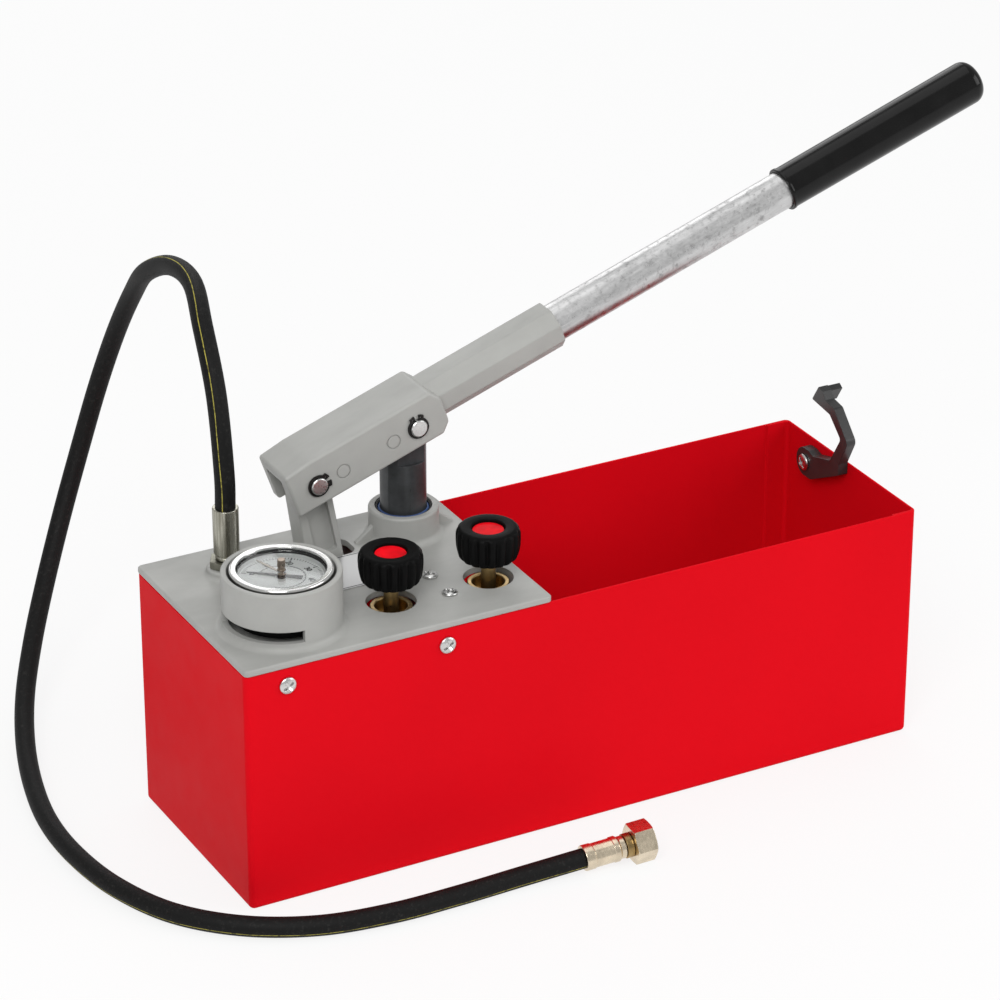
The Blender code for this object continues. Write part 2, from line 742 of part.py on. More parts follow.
def boss_rib(angle):
    """Sloping rib from the pump boss down to the cover."""
    inner = BOSS_RADIUS - RIB_THICKNESS / 2
    outline = ((inner, RIB_HEIGHT), (inner, -COVER_THICKNESS / 2),
               (BOSS_RADIUS + RIB_REACH, -COVER_THICKNESS / 2),
               (BOSS_RADIUS + RIB_REACH, COVER_THICKNESS / 4))
    rib = laid(prism(outline, -RIB_THICKNESS / 2, RIB_THICKNESS / 2), "Y")
    return moved(spun(rib, angle), PUMP_FROM_LEFT, LEVER_FROM_FRONT)


def pivot_lug(side):
    """Lug under the cover that holds one end of the rocker's pivot pin."""
    x, z = rocker_pivot()
    root = -COVER_THICKNESS + JOIN_OVERLAP
    outline = [(x + LUG_RADIUS, root), *arc((x, z), LUG_RADIUS, 0, -math.pi), (x - LUG_RADIUS, root)]
    near = side * LUG_SPACING / 2
    far = near + side * LUG_THICKNESS
    lug = laid(prism(outline, min(near, far), max(near, far)), "Y")
    return moved(lug, 0, LEVER_FROM_FRONT)


def guard_window():
    """Curved opening through the guard's wall, beside the cover's front corner."""
    inner = GUARD_RADIUS - GUARD_WALL - CUT_OVERRUN
    outer = GUARD_RADIUS + GUARD_FLARE + CUT_OVERRUN
    outline = band(inner, outer, WINDOW_START, WINDOW_END, ARC_STEPS)
    shape = prism(outline, WINDOW_SILL, WINDOW_SILL + WINDOW_HEIGHT)
    return moved(shape, GAUGE_FROM_LEFT, GAUGE_FROM_FRONT)


def cover_openings():
    """Every upright hole in the cover but the pump's."""
    low = -COVER_THICKNESS - CUT_OVERRUN
    high = OUTLET_PAD_HEIGHT + CUT_OVERRUN
    pivot_x = rocker_pivot()[0]
    slot = prism(rectangle(pivot_x - SLOT_LEFT, pivot_x + SLOT_RIGHT,
                           LEVER_FROM_FRONT - SLOT_WIDTH / 2, LEVER_FROM_FRONT + SLOT_WIDTH / 2,
                           SLOT_CORNER_RADIUS), -COVER_THICKNESS - JOIN_OVERLAP, high)
    holes = [slot,
             moved(rod(SOCKET_HOLE_RADIUS, low, high), GAUGE_FROM_LEFT, GAUGE_FROM_FRONT),
             moved(rod(OUTLET_HOLE_RADIUS, low, high), HOSE_FROM_LEFT, HOSE_FROM_FRONT)]
    for x in VALVES_FROM_LEFT:
        holes.append(moved(rod(VALVE_HOLE_RADIUS, low, high, ROUND_STEPS), x, VALVE_FROM_FRONT))
    for y in TOP_SCREWS_FROM_FRONT:
        holes.append(moved(rod(TOP_SCREW_RADIUS + SCREW_CLEARANCE, low, high), TOP_SCREW_FROM_LEFT, y))
    return merged(*holes)


def pump_bore():
    """Bore for the plunger, wide at the top for its seals."""
    guide = PLUNGER_RADIUS + SCREW_CLEARANCE
    profile = ((0, BOSS_HEIGHT + CUT_OVERRUN),
               (SEAL_BORE_RADIUS, BOSS_HEIGHT + CUT_OVERRUN),
               (SEAL_BORE_RADIUS, BOSS_HEIGHT - SEAL_DEPTH),
               (guide, BOSS_HEIGHT - SEAL_DEPTH),
               (guide, -LOWER_BOSS_DEPTH - CUT_OVERRUN),
               (0, -LOWER_BOSS_DEPTH - CUT_OVERRUN))
    return moved(turned(profile), PUMP_FROM_LEFT, LEVER_FROM_FRONT)


def cover_cross_holes():
    """Holes along Y for the side screws and the rocker's pivot pin."""
    height = TANK_HEIGHT - SIDE_SCREW_BELOW_RIM - COVER_TOP
    reach = SKIRT_WALL + TANK_SHEET * 2 + CUT_OVERRUN
    holes = []
    for x in SIDE_SCREWS_FROM_LEFT:
        for low in (0, TANK_WIDTH - reach):
            hole = laid(rod(SIDE_SCREW_RADIUS + SCREW_CLEARANCE, low, low + reach), "Y")
            holes.append(moved(hole, x, 0, height))
    x, z = rocker_pivot()
    half = LUG_SPACING / 2 + LUG_THICKNESS + CUT_OVERRUN
    pin_hole = laid(rod(PIVOT_RADIUS + GAP, -half, half), "Y")
    holes.append(moved(pin_hole, x, LEVER_FROM_FRONT, z))
    return merged(*holes)


def pan_screw(head_radius, head_height, shank_radius, length):
    """Screw with a domed head; the head's underside is at the origin and the shank runs down."""
    crown = head_radius * HEAD_CROWN_SHARE
    edge = head_height * HEAD_EDGE_SHARE
    return turned(((0, head_height), (crown, head_height), (head_radius, edge), (head_radius, 0),
                   (shank_radius, 0), (shank_radius, -length), (0, -length)), SCREW_STEPS)


def cover_screws(deck):
    """Two screws through each side of the tank and two down into the valve block."""
    height = TANK_HEIGHT - SIDE_SCREW_BELOW_RIM - COVER_TOP
    grip = TANK_SHEET * 2 + SKIRT_WALL + HEAD_HEIGHT
    number = 0
    for side, y in ((1, -GAP), (-1, TANK_WIDTH + GAP)):
        for x in SIDE_SCREWS_FROM_LEFT:
            number += 1
            shape = pan_screw(SIDE_HEAD_RADIUS, HEAD_HEIGHT, SIDE_SCREW_RADIUS, grip)
            turn = (side * math.pi / 2, 0, 0)
            piece(f"side_screw_{number}", shape, "zinc_steel", deck, (x, y, height), turn)
    for number, y in enumerate(TOP_SCREWS_FROM_FRONT, 1):
        shape = pan_screw(TOP_HEAD_RADIUS, HEAD_HEIGHT, TOP_SCREW_RADIUS, TOP_SCREW_LENGTH)
        piece(f"top_screw_{number}", shape, "zinc_steel", deck, (TOP_SCREW_FROM_LEFT, y, GAP))


def valve_block(deck):
    """Cast block under the cover that joins pump, valves, gauge and outlet."""
    top = -BLOCK_TOP_DEPTH
    low = top - BLOCK_HEIGHT
    bar = prism(rectangle(BLOCK_START, BLOCK_END, BLOCK_FRONT, BLOCK_BACK, BLOCK_CORNER_RADIUS), low, top)
    body = piece("valve_block", bar, "aluminium", deck)

    half = BLOCK_ARM_WIDTH / 2
    arm_low = low + JOIN_OVERLAP
    arm_top = top - JOIN_OVERLAP
    end = arc((HOSE_FROM_LEFT, HOSE_FROM_FRONT), half, 0, math.pi)
    outlet_arm = [(HOSE_FROM_LEFT - half, BLOCK_BACK - JOIN_OVERLAP),
                  (HOSE_FROM_LEFT + half, BLOCK_BACK - JOIN_OVERLAP), *end]
    join(body, "outlet_arm", prism(outlet_arm, arm_low, arm_top))
    collar = CYLINDER_RADIUS + GAP + BLOCK_COLLAR_WALL
    pump_arm = rectangle(PUMP_FROM_LEFT - half, PUMP_FROM_LEFT + half, BLOCK_BACK - JOIN_OVERLAP,
                         LEVER_FROM_FRONT)
    join(body, "pump_arm", prism(pump_arm, arm_low, arm_top))
    join(body, "collar", moved(rod(collar, low, top, ROUND_STEPS), PUMP_FROM_LEFT, LEVER_FROM_FRONT))
    column_top = -COVER_THICKNESS - GAP
    columns = [moved(rod(BLOCK_COLUMN_RADIUS, top - JOIN_OVERLAP * 2, column_top, SCREW_STEPS),
                     TOP_SCREW_FROM_LEFT, y)
               for y in TOP_SCREWS_FROM_FRONT]
    join(body, "columns", merged(*columns))

    holes = [moved(rod(CYLINDER_RADIUS + GAP, low - CUT_OVERRUN, top + CUT_OVERRUN, ROUND_STEPS),
                   PUMP_FROM_LEFT, LEVER_FROM_FRONT),
             moved(rod(HOSE_STEM_RADIUS + GAP, top - BLOCK_HEIGHT / 2, top + CUT_OVERRUN),
                   HOSE_FROM_LEFT, HOSE_FROM_FRONT),
             moved(rod(SOCKET_STEM_RADIUS + GAP, top - SOCKET_STEM_LENGTH, top + CUT_OVERRUN),
                   GAUGE_FROM_LEFT, GAUGE_FROM_FRONT)]
    for y in TOP_SCREWS_FROM_FRONT:
        holes.append(moved(rod(TOP_SCREW_RADIUS + GAP, -TOP_SCREW_LENGTH - CUT_OVERRUN,
                               column_top + CUT_OVERRUN, SCREW_STEPS), TOP_SCREW_FROM_LEFT, y))
    for x, seat in zip(VALVES_FROM_LEFT, (SEAT_DEPTH, BLOCK_HEIGHT)):
        bore_low = top - VALVE_BORE_DEPTH
        seat_low = bore_low - seat
        bore = turned(((0, top + CUT_OVERRUN), (VALVE_BORE_RADIUS, top + CUT_OVERRUN),
                       (VALVE_BORE_RADIUS, bore_low), (SEAT_RADIUS, bore_low),
                       (SEAT_RADIUS, seat_low), (0, seat_low)), SMALL_STEPS)
        holes.append(moved(bore, x, VALVE_FROM_FRONT))
    cut(body, "holes", merged(*holes))
    pipe = rod(RETURN_PIPE_RADIUS + GAP, low - CUT_OVERRUN, low + RETURN_PIPE_INSET)
    cut(body, "return_port", moved(pipe, VALVES_FROM_LEFT[1], VALVE_FROM_FRONT))
    return body


def pump_cylinder(deck):
    """Cylinder under the cover, open at the top, with the suction port in its floor."""
    top = -LOWER_BOSS_DEPTH - GAP
    flange_low = -BLOCK_TOP_DEPTH + GAP
    bore = PLUNGER_RADIUS + SCREW_CLEARANCE
    flange = LOWER_BOSS_RADIUS - JOIN_OVERLAP
    floor = -CYLINDER_BOTTOM + CYLINDER_FLOOR
    profile = ((bore, top), (flange, top), (flange, flange_low), (CYLINDER_RADIUS, flange_low),
               (CYLINDER_RADIUS, -CYLINDER_BOTTOM), (CYLINDER_PORT_RADIUS, -CYLINDER_BOTTOM),
               (CYLINDER_PORT_RADIUS, floor), (bore, floor))
    place = (PUMP_FROM_LEFT, LEVER_FROM_FRONT, 0)
    piece("pump_cylinder", turned(profile), "zinc_steel", deck, place)


def plunger_seals(deck):
    """Blue wiper at the plunger and the black ring that holds it in the boss."""
    place = (PUMP_FROM_LEFT, LEVER_FROM_FRONT, BOSS_HEIGHT)
    low = -SEAL_DEPTH + GAP
    split = SEAL_SPLIT_RADIUS
    ring = tube(split + GAP / 2, SEAL_BORE_RADIUS - GAP, low, -SEAL_INSET)
    piece("seal_ring", ring, "black_rubber", deck, place)
    lip = PLUNGER_RADIUS + GAP
    wiper_foot = -WIPER_INSET - WIPER_SLOPE
    wiper = turned(((lip, -WIPER_INSET), (lip + WIPER_LIP, -WIPER_INSET), (split - GAP / 2, wiper_foot),
                    (split - GAP / 2, low), (lip, low)))
    piece("wiper_seal", wiper, "blue_seal", deck, place)


def suction_parts(deck):
    """Suction pipe under the cylinder, its slotted strainer and the return pipe."""
    top = -CYLINDER_BOTTOM - GAP
    nut_low = top - SUCTION_NUT_HEIGHT
    end = top - SUCTION_PIPE_LENGTH
    place = (PUMP_FROM_LEFT, LEVER_FROM_FRONT, 0)
    pipe = piece("suction_pipe", prism(hexagon(SUCTION_NUT_FLATS), nut_low, top), "brass", deck, place)
    join(pipe, "stem", rod(SUCTION_PIPE_RADIUS, end, nut_low + JOIN_OVERLAP))
    cut(pipe, "bore", rod(SUCTION_BORE_RADIUS, end - CUT_OVERRUN, top + CUT_OVERRUN))

    rim = nut_low - GAP
    floor = -COVER_TOP + TANK_SHEET + STRAINER_FLOOR_GAP
    inner = STRAINER_RADIUS - STRAINER_WALL
    neck = SUCTION_PIPE_RADIUS + GAP
    cup = turned(((0, floor), (STRAINER_RADIUS, floor), (STRAINER_RADIUS, rim), (neck, rim),
                  (neck, rim - STRAINER_WALL), (inner, rim - STRAINER_WALL),
                  (inner, floor + STRAINER_WALL), (0, floor + STRAINER_WALL)), SMALL_STEPS)
    strainer = piece("suction_strainer", cup, "stainless", deck, place)
    middle = (end - GAP + floor) / 2
    reach = (end - floor) / 2 - STRAINER_WALL * 2
    across = STRAINER_RADIUS + CUT_OVERRUN
    pairs = STRAINER_SLOTS // 2
    for number in range(pairs):
        slot = laid(prism(rectangle(-STRAINER_SLOT_WIDTH / 2, STRAINER_SLOT_WIDTH / 2, -reach, reach),
                          -across, across), "Y")
        spun(slot, math.pi * number / pairs)
        cut(strainer, f"slot_{number + 1}", moved(slot, 0, 0, middle))

    port = -BLOCK_TOP_DEPTH - BLOCK_HEIGHT + RETURN_PIPE_INSET - GAP
    drain = tube(RETURN_PIPE_RADIUS - RETURN_PIPE_WALL, RETURN_PIPE_RADIUS,
                 port - RETURN_PIPE_LENGTH, port, SMALL_STEPS)
    piece("return_pipe", drain, "brass", deck, (VALVES_FROM_LEFT[1], VALVE_FROM_FRONT, 0))


def valves(deck):
    """Both shut-off valves: gland, cone, spindle, knob and the disc in the knob."""
    top = -BLOCK_TOP_DEPTH
    for number, x in enumerate(VALVES_FROM_LEFT, 1):
        place = (x, VALVE_FROM_FRONT, 0)
        gland_low = top + GAP
        gland_top = -GLAND_BELOW_COVER
        bore = SPINDLE_RADIUS + GAP
        spigot = VALVE_BORE_RADIUS - GAP
        spigot_low = gland_low - GLAND_SPIGOT
        cup_floor = gland_top - GLAND_CUP_DEPTH
        gland = turned(((GLAND_CUP_RADIUS, gland_top), (GLAND_RADIUS, gland_top), (GLAND_RADIUS, gland_low),
                        (spigot, gland_low), (spigot, spigot_low), (bore, spigot_low), (bore, cup_floor),
                        (GLAND_CUP_RADIUS, cup_floor)))
        piece(f"valve_gland_{number}", gland, "brass", deck, place)

        tip = top - VALVE_BORE_DEPTH - CONE_TIP_DEPTH
        shank = tip + CONE_LENGTH
        cone_top = shank + CONE_SHANK
        cone = turned(((0, cone_top), (CONE_RADIUS, cone_top), (CONE_RADIUS, shank),
                       (CONE_TIP_RADIUS, tip), (0, tip)), SMALL_STEPS)
        lift = mount(f"valve_lift_{number}", place, parent=deck)
        piece(f"valve_cone_{number}", cone, "brass", lift)
        spin = mount(f"valve_spin_{number}", parent=lift)
        spindle = rod(SPINDLE_RADIUS, cone_top + GAP, KNOB_LIFT + KNOB_SOCKET_DEPTH)
        piece(f"valve_spindle_{number}", spindle, "brass", spin)
        knob = piece(f"valve_knob_{number}", lobed_knob(), "black_plastic", spin, (0, 0, KNOB_LIFT))
        recess = DISC_RADIUS + GAP
        cut(knob, "recess", rod(recess, KNOB_HEIGHT - DISC_RECESS, KNOB_HEIGHT + CUT_OVERRUN, ROUND_STEPS))
        cut(knob, "socket", rod(SPINDLE_RADIUS + GAP, -CUT_OVERRUN, KNOB_SOCKET_DEPTH + GAP))
        disc_low = KNOB_LIFT + KNOB_HEIGHT - DISC_RECESS + GAP
        disc = rod(DISC_RADIUS, disc_low, disc_low + DISC_THICKNESS, ROUND_STEPS)
        piece(f"knob_disc_{number}", disc, "red_plastic", spin)


def lobed_knob():
    """Round knob whose side is a row of rounded ribs."""
    points = KNOB_RIBS * len(RIB_SHARES)
    rings = []
    for height_share, radius_share, groove_share in KNOB_SHARES:
        ring = []
        for index in range(points):
            turn = math.tau * index / points
            groove = KNOB_GROOVE * groove_share * RIB_SHARES[index % len(RIB_SHARES)]
            radius = KNOB_RADIUS * radius_share - groove
            ring.append((radius * math.cos(turn), radius * math.sin(turn), KNOB_HEIGHT * height_share))
        rings.append(ring)
    return loft(rings)


def gauge(deck):
    """Bourdon gauge with its socket, works, dial, two hands, glass and bezel."""
    stand = mount("gauge_axis", (GAUGE_FROM_LEFT, GAUGE_FROM_FRONT, 0), parent=deck)
    gauge_socket(stand)
    inner = CASE_RADIUS - CASE_WALL
    case_top = CASE_BASE + CASE_HEIGHT
    floor = CASE_BASE + CASE_FLOOR
    neck = SOCKET_STEM_RADIUS + GAP
    case = turned(((inner, case_top), (CASE_RADIUS, case_top), (CASE_RADIUS, CASE_BASE), (neck, CASE_BASE),
                   (neck, floor), (inner, floor)))
    piece("gauge_case", case, "black_plastic", stand)

    block_top = floor + GAP + SOCKET_BLOCK_HEIGHT
    bourdon_low = block_top - BOURDON_WIDTH - JOIN_OVERLAP
    strip = band(BOURDON_RADIUS - BOURDON_THICKNESS / 2, BOURDON_RADIUS + BOURDON_THICKNESS / 2,
                 BOURDON_START, BOURDON_START + BOURDON_SWEEP, SMALL_STEPS)
    piece("bourdon_tube", prism(strip, bourdon_low, bourdon_low + BOURDON_WIDTH), "brass", stand)

    dial_low = case_top - DIAL_BELOW_RIM - DIAL_THICKNESS
    dial_top = dial_low + DIAL_THICKNESS
    gauge_movement(stand, block_top + GAP, dial_low, dial_top)
    dial = tube(ARBOR_HOLE_RADIUS, DIAL_RADIUS, dial_low, dial_top)
    piece("gauge_dial", dial, "dial_white", stand)

    glass_low = case_top + GLASS_ABOVE_RIM
    glass_top = glass_low + GLASS_THICKNESS
    piece("gauge_glass", tube(STEM_HOLE_RADIUS, GLASS_RADIUS, glass_low, glass_top), "clear_glass", stand)
    bezel_inner = CASE_RADIUS + GAP
    bezel_outer = bezel_inner + BEZEL_WALL
    lip_low = glass_top + GAP
    lip_top = lip_low + BEZEL_LIP
    low = case_top - BEZEL_SKIRT
    bezel = turned(((BEZEL_LIP_RADIUS, lip_low), (BEZEL_LIP_RADIUS + BEZEL_SLOPE, lip_top),
                    (bezel_outer - BEZEL_EDGE, lip_top), (bezel_outer, lip_top - BEZEL_EDGE),
                    (bezel_outer, low), (bezel_inner, low), (bezel_inner, lip_low)), GUARD_STEPS)
    piece("gauge_bezel", bezel, "stainless", stand)
    gauge_hands(stand, dial_top, glass_top)


def gauge_socket(stand):
    """Brass socket: stem into the block, square, neck and the block that holds the bourdon tube."""
    square_low = -BLOCK_TOP_DEPTH + GAP
    square_top = CASE_BASE - GAP
    half = SOCKET_FLATS / 2
    body = piece("gauge_socket", prism(rectangle(-half, half, -half, half), square_low, square_top),
                 "brass", stand)
    stem_low = square_low - SOCKET_STEM_LENGTH + GAP * 2
    floor = CASE_BASE + CASE_FLOOR + GAP
    join(body, "stem", rod(SOCKET_STEM_RADIUS, stem_low, square_low + JOIN_OVERLAP))
    join(body, "neck", rod(SOCKET_STEM_RADIUS, square_top - JOIN_OVERLAP, floor + JOIN_OVERLAP))
    width = SOCKET_BLOCK_WIDTH / 2
    reach = math.sqrt((BOURDON_RADIUS - BOURDON_THICKNESS / 2 - GAP) ** 2 - width ** 2)
    block = prism(rectangle(-width, reach, -width, width), floor, floor + SOCKET_BLOCK_HEIGHT)
    join(body, "block", spun(block, BOURDON_START))


def gauge_movement(stand, low, dial_low, dial_top):
    """Two plates on posts with the pointer's arbor through them."""
    plate_top = low + MOVEMENT_PLATE
    upper_low = plate_top + MOVEMENT_SPACING
    upper_top = upper_low + MOVEMENT_PLATE
    body = piece("gauge_movement", rod(MOVEMENT_RADIUS, low, plate_top, SMALL_STEPS), "brass", stand)
    post_x = MOVEMENT_RADIUS - MOVEMENT_POST_RADIUS * 2
    half_plate = MOVEMENT_PLATE / 2
    posts = [moved(rod(MOVEMENT_POST_RADIUS, plate_top - half_plate, upper_low + half_plate, TINY_STEPS),
                   side * post_x)
             for side in (-1, 1)]
    join(body, "posts", merged(*posts))
    join(body, "upper_plate", rod(UPPER_PLATE_RADIUS, upper_low, upper_top, SMALL_STEPS))
    arbor_top = dial_top + NEEDLE_ABOVE_DIAL + NEEDLE_HUB_HEIGHT
    join(body, "arbor", rod(ARBOR_RADIUS, plate_top - half_plate, arbor_top, TINY_STEPS))
    dial_post = rod(MOVEMENT_POST_RADIUS, upper_top - half_plate, dial_low - GAP, TINY_STEPS)
    join(body, "dial_post", moved(dial_post, DIAL_POST_OFFSET))


def gauge_hands(stand, dial_top, glass_top):
    """Pressure hand on the arbor, and the drag hand with the stem that resets it."""
    low = dial_top + NEEDLE_ABOVE_DIAL
    outline = hand_outline(NEEDLE_LENGTH, NEEDLE_TAIL, NEEDLE_WIDTH)
    axis = mount("needle_axis", (0, 0, low), (0, 0, ZERO_MARK), stand)
    hand = piece("gauge_needle", prism(outline, 0, NEEDLE_THICKNESS), "black_plastic", axis)
    join(hand, "hub", rod(NEEDLE_HUB_RADIUS, -GAP, NEEDLE_HUB_HEIGHT, SMALL_STEPS))
    cut(hand, "arbor_hole", rod(ARBOR_RADIUS + GAP, -CUT_OVERRUN, NEEDLE_HUB_HEIGHT + CUT_OVERRUN))

    height = low + NEEDLE_HUB_HEIGHT + DRAG_HAND_GAP - GAP
    axis = mount("drag_axis", (0, 0, height), (0, 0, DRAG_HAND_REST), stand)
    outline = hand_outline(DRAG_HAND_LENGTH, NEEDLE_HUB_RADIUS, DRAG_HAND_WIDTH)
    hand = piece("drag_hand", prism(outline, 0, NEEDLE_THICKNESS), "zinc_steel", axis)
    glass = glass_top - height
    head_top = glass + STEM_HEIGHT
    head_low = head_top - STEM_HEAD
    foot = glass + STEM_FOOT
    stem = turned(((0, head_top), (STEM_RADIUS - STEM_EDGE, head_top), (STEM_RADIUS, head_top - STEM_EDGE),
                   (STEM_RADIUS, head_low), (STEM_NECK_RADIUS, head_low), (STEM_NECK_RADIUS, foot),
                   (STEM_RADIUS, foot), (STEM_RADIUS, -GAP), (0, -GAP)), SMALL_STEPS)
    join(hand, "stem", stem)


def hand_outline(length, tail, width):
    """Tapering hand along +X with a short tail."""
    half = width / 2
    tail_half = half * HAND_TAIL_SHARE
    bend_share, narrow_share = HAND_TAPER_SHARES
    bend = length * bend_share
    narrow = half * narrow_share
    return ((-tail, -tail_half), (0, -half), (bend, -narrow), (length, 0), (bend, narrow), (0, half),
            (-tail, tail_half))


def plunger(deck):
    """Ground plunger with a flat tongue at the top for the lever's fork."""
    axis = mount("plunger_axis", (PUMP_FROM_LEFT, LEVER_FROM_FRONT, PIN_HEIGHT), parent=deck)
    edge = PIN_CHAMFER * 2
    low = -PLUNGER_LENGTH
    top = TONGUE_RADIUS + CUT_OVERRUN
    shaft = turned(((0, top), (PLUNGER_RADIUS, top), (PLUNGER_RADIUS, low + edge),
                    (PLUNGER_RADIUS - edge, low), (0, low)))
    body = piece("piston", shaft, "dark_steel", axis)
    for number, side in enumerate((-1, 1), 1):
        near = side * TONGUE_THICKNESS / 2
        far = side * (PLUNGER_RADIUS + CUT_OVERRUN)
        flat = rectangle(-PLUNGER_RADIUS - CUT_OVERRUN, PLUNGER_RADIUS + CUT_OVERRUN,
                         min(near, far), max(near, far))
        cut(body, f"flat_{number}", prism(flat, -TONGUE_DEPTH, top + CUT_OVERRUN))
    wide = PLUNGER_RADIUS + CUT_OVERRUN
    slope = TONGUE_SHOULDER / (PLUNGER_RADIUS - TONGUE_RADIUS)
    foot = -TONGUE_SHOULDER - slope * CUT_OVERRUN
    outline = [(wide, low - CUT_OVERRUN), (wide, foot), *arc((0, 0), TONGUE_RADIUS, 0, math.pi),
               (-wide, foot), (-wide, low - CUT_OVERRUN)]
    keep = laid(prism(outline, -PLUNGER_RADIUS * 2, PLUNGER_RADIUS * 2), "Y")
    combine(body, "tongue", keep, "INTERSECT")
    across = PLUNGER_RADIUS + CUT_OVERRUN
    cut(body, "pin_hole", laid(rod(PIN_RADIUS + GAP, -across, across), "Y"))


def rocker(deck):
    """I-section link that hangs the lever from the cover; its foot turns on a pin below."""
    x, z = rocker_pin()
    axis = mount("rocker_axis", (x, LEVER_FROM_FRONT, z), (0, -ROCKER_LEAN, 0), deck)
    half = ROCKER_WIDTH / 2
    hole = (-PIVOT_HOLE_LEFT, -ROCKER_LENGTH - PIVOT_HOLE_BELOW)
    shoulder = -TONGUE_SHOULDER
    outline = [*arc((0, 0), ROCKER_EYE_RADIUS, 0, math.pi), (-half, shoulder),
               *arc(hole, ROCKER_FOOT_RADIUS, math.pi, math.tau), (half, shoulder)]
    thick = ROCKER_THICKNESS / 2
    link = laid(prism(outline, -thick, thick), "Y")
    softened(link, PIN_CHAMFER, lambda edge: abs(edge.verts[0].co.y - edge.verts[1].co.y) < WELD, 1)
    body = piece("rocker_link", link, "grey_paint", axis)
    web = half - ROCKER_FLANGE
    recess_top = shoulder - ROCKER_FLANGE
    recess_low = hole[1] + ROCKER_FOOT_RADIUS + ROCKER_FLANGE
    for number, side in enumerate((-1, 1), 1):
        near = side * ROCKER_WEB / 2
        far = side * (thick + CUT_OVERRUN)
        recess = prism(rectangle(-web, web, recess_low, recess_top, ROCKER_FLANGE / 2),
                       min(near, far), max(near, far))
        cut(body, f"recess_{number}", laid(recess, "Y"))
    across = thick + CUT_OVERRUN
    cut(body, "pin_hole", laid(rod(PIN_RADIUS + GAP, -across, across), "Y"))
    pivot = laid(rod(PIVOT_HOLE_RADIUS, -across, across, SMALL_STEPS), "Y")
    cut(body, "pivot_hole", moved(pivot, hole[0], 0, hole[1]))


def pivot_pin(deck):
    """Pin across the lugs under the cover."""
    x, z = rocker_pivot()
    half = LUG_SPACING / 2 + LUG_THICKNESS + JOIN_OVERLAP
    pin = laid(rod(PIVOT_RADIUS, -half, half), "Y")
    piece("rocker_pivot_pin", pin, "zinc_steel", deck, (x, LEVER_FROM_FRONT, z))


def lever(deck):
    """Lever: forked head casting, tube and grip, with the pins and rings that hold it."""
    axis = mount("lever_axis", (PUMP_FROM_LEFT, LEVER_FROM_FRONT, PIN_HEIGHT), (0, -LEVER_ANGLE, 0), deck)
    lever_head(axis)
    lever_tube(axis)
    lever_pins(axis)


def lever_head(axis):
    """Fork over rocker and plunger, running out into an eight-sided socket for the tube."""
    left = -PIN_SPACING - FORK_BEHIND_ROCKER_PIN
    bend = FORK_AHEAD - FORK_CHAMFER_LENGTH
    outline = ((left, -FORK_BELOW), (bend, -FORK_BELOW), (FORK_AHEAD, -FORK_BELOW + FORK_CHAMFER_BELOW),
               (FORK_AHEAD, FORK_ABOVE - FORK_CHAMFER_ABOVE), (bend, FORK_ABOVE), (left, FORK_ABOVE))
    half = FORK_WIDTH / 2
    fork = softened(laid(prism(outline, -half, half), "Y"), FORK_EDGE_RADIUS)
    body = piece("lever_head", fork, "grey_paint", axis)

    width = SOCKET_WIDTH / 2
    height = SOCKET_HEIGHT / 2
    slope = SOCKET_CHAMFER
    octagon = ((width - slope, height), (width, height - slope), (width, slope - height),
               (width - slope, -height), (slope - width, -height), (-width, slope - height),
               (-width, height - slope), (slope - width, height))
    socket = laid(prism(octagon, FORK_AHEAD - FORK_CHAMFER_LENGTH, SOCKET_END), "X")
    join(body, "socket", moved(socket, 0, 0, TUBE_ABOVE_PINS))

    slot_half = FORK_SLOT_WIDTH / 2
    slot = prism(rectangle(left - CUT_OVERRUN, FORK_SLOT_AHEAD, -FORK_BELOW - CUT_OVERRUN, FORK_SLOT_ROOF),
                 -slot_half, slot_half)
    cut(body, "slot", laid(slot, "Y"))
    bore = laid(rod(TUBE_RADIUS + GAP, TUBE_START - GAP, SOCKET_END + CUT_OVERRUN, ROUND_STEPS), "X")
    cut(body, "bore", moved(bore, 0, 0, TUBE_ABOVE_PINS))
    across = half + CUT_OVERRUN
    holes = [moved(laid(rod(PIN_RADIUS + GAP, -across, across), "Y"), x) for x in (0, -PIN_SPACING)]
    cut(body, "pin_holes", merged(*holes))


def lever_tube(axis):
    """Steel tube in the head's socket, with the grip over its far end."""
    bore_end = GRIP_START + GRIP_LENGTH - GRIP_END_WALL
    tube_end = bore_end - GAP
    place = (0, 0, TUBE_ABOVE_PINS)
    stem = laid(tube(TUBE_RADIUS - TUBE_WALL, TUBE_RADIUS, TUBE_START, tube_end), "X")
    piece("lever_tube", stem, "zinc_steel", axis, place)

    inner = TUBE_RADIUS + GAP
    end = GRIP_START + GRIP_LENGTH
    lip = GRIP_START_RADIUS + GRIP_LIP_HEIGHT
    dome_radius = GRIP_END_RADIUS / 2
    dome = arc((dome_radius, end - dome_radius), dome_radius, math.pi / 2, 0, CORNER_STEPS)
    profile = [(0, end), *dome, (GRIP_START_RADIUS, GRIP_START + GRIP_LIP_END), (lip, GRIP_START + GRIP_LIP),
               (lip, GRIP_START + GRIP_LIP_HEIGHT), (lip - GRIP_LIP_HEIGHT, GRIP_START),
               (inner, GRIP_START), (inner, bore_end), (0, bore_end)]
    piece("lever_grip", laid(turned(profile, ROUND_STEPS), "X"), "gloss_black", axis, place)


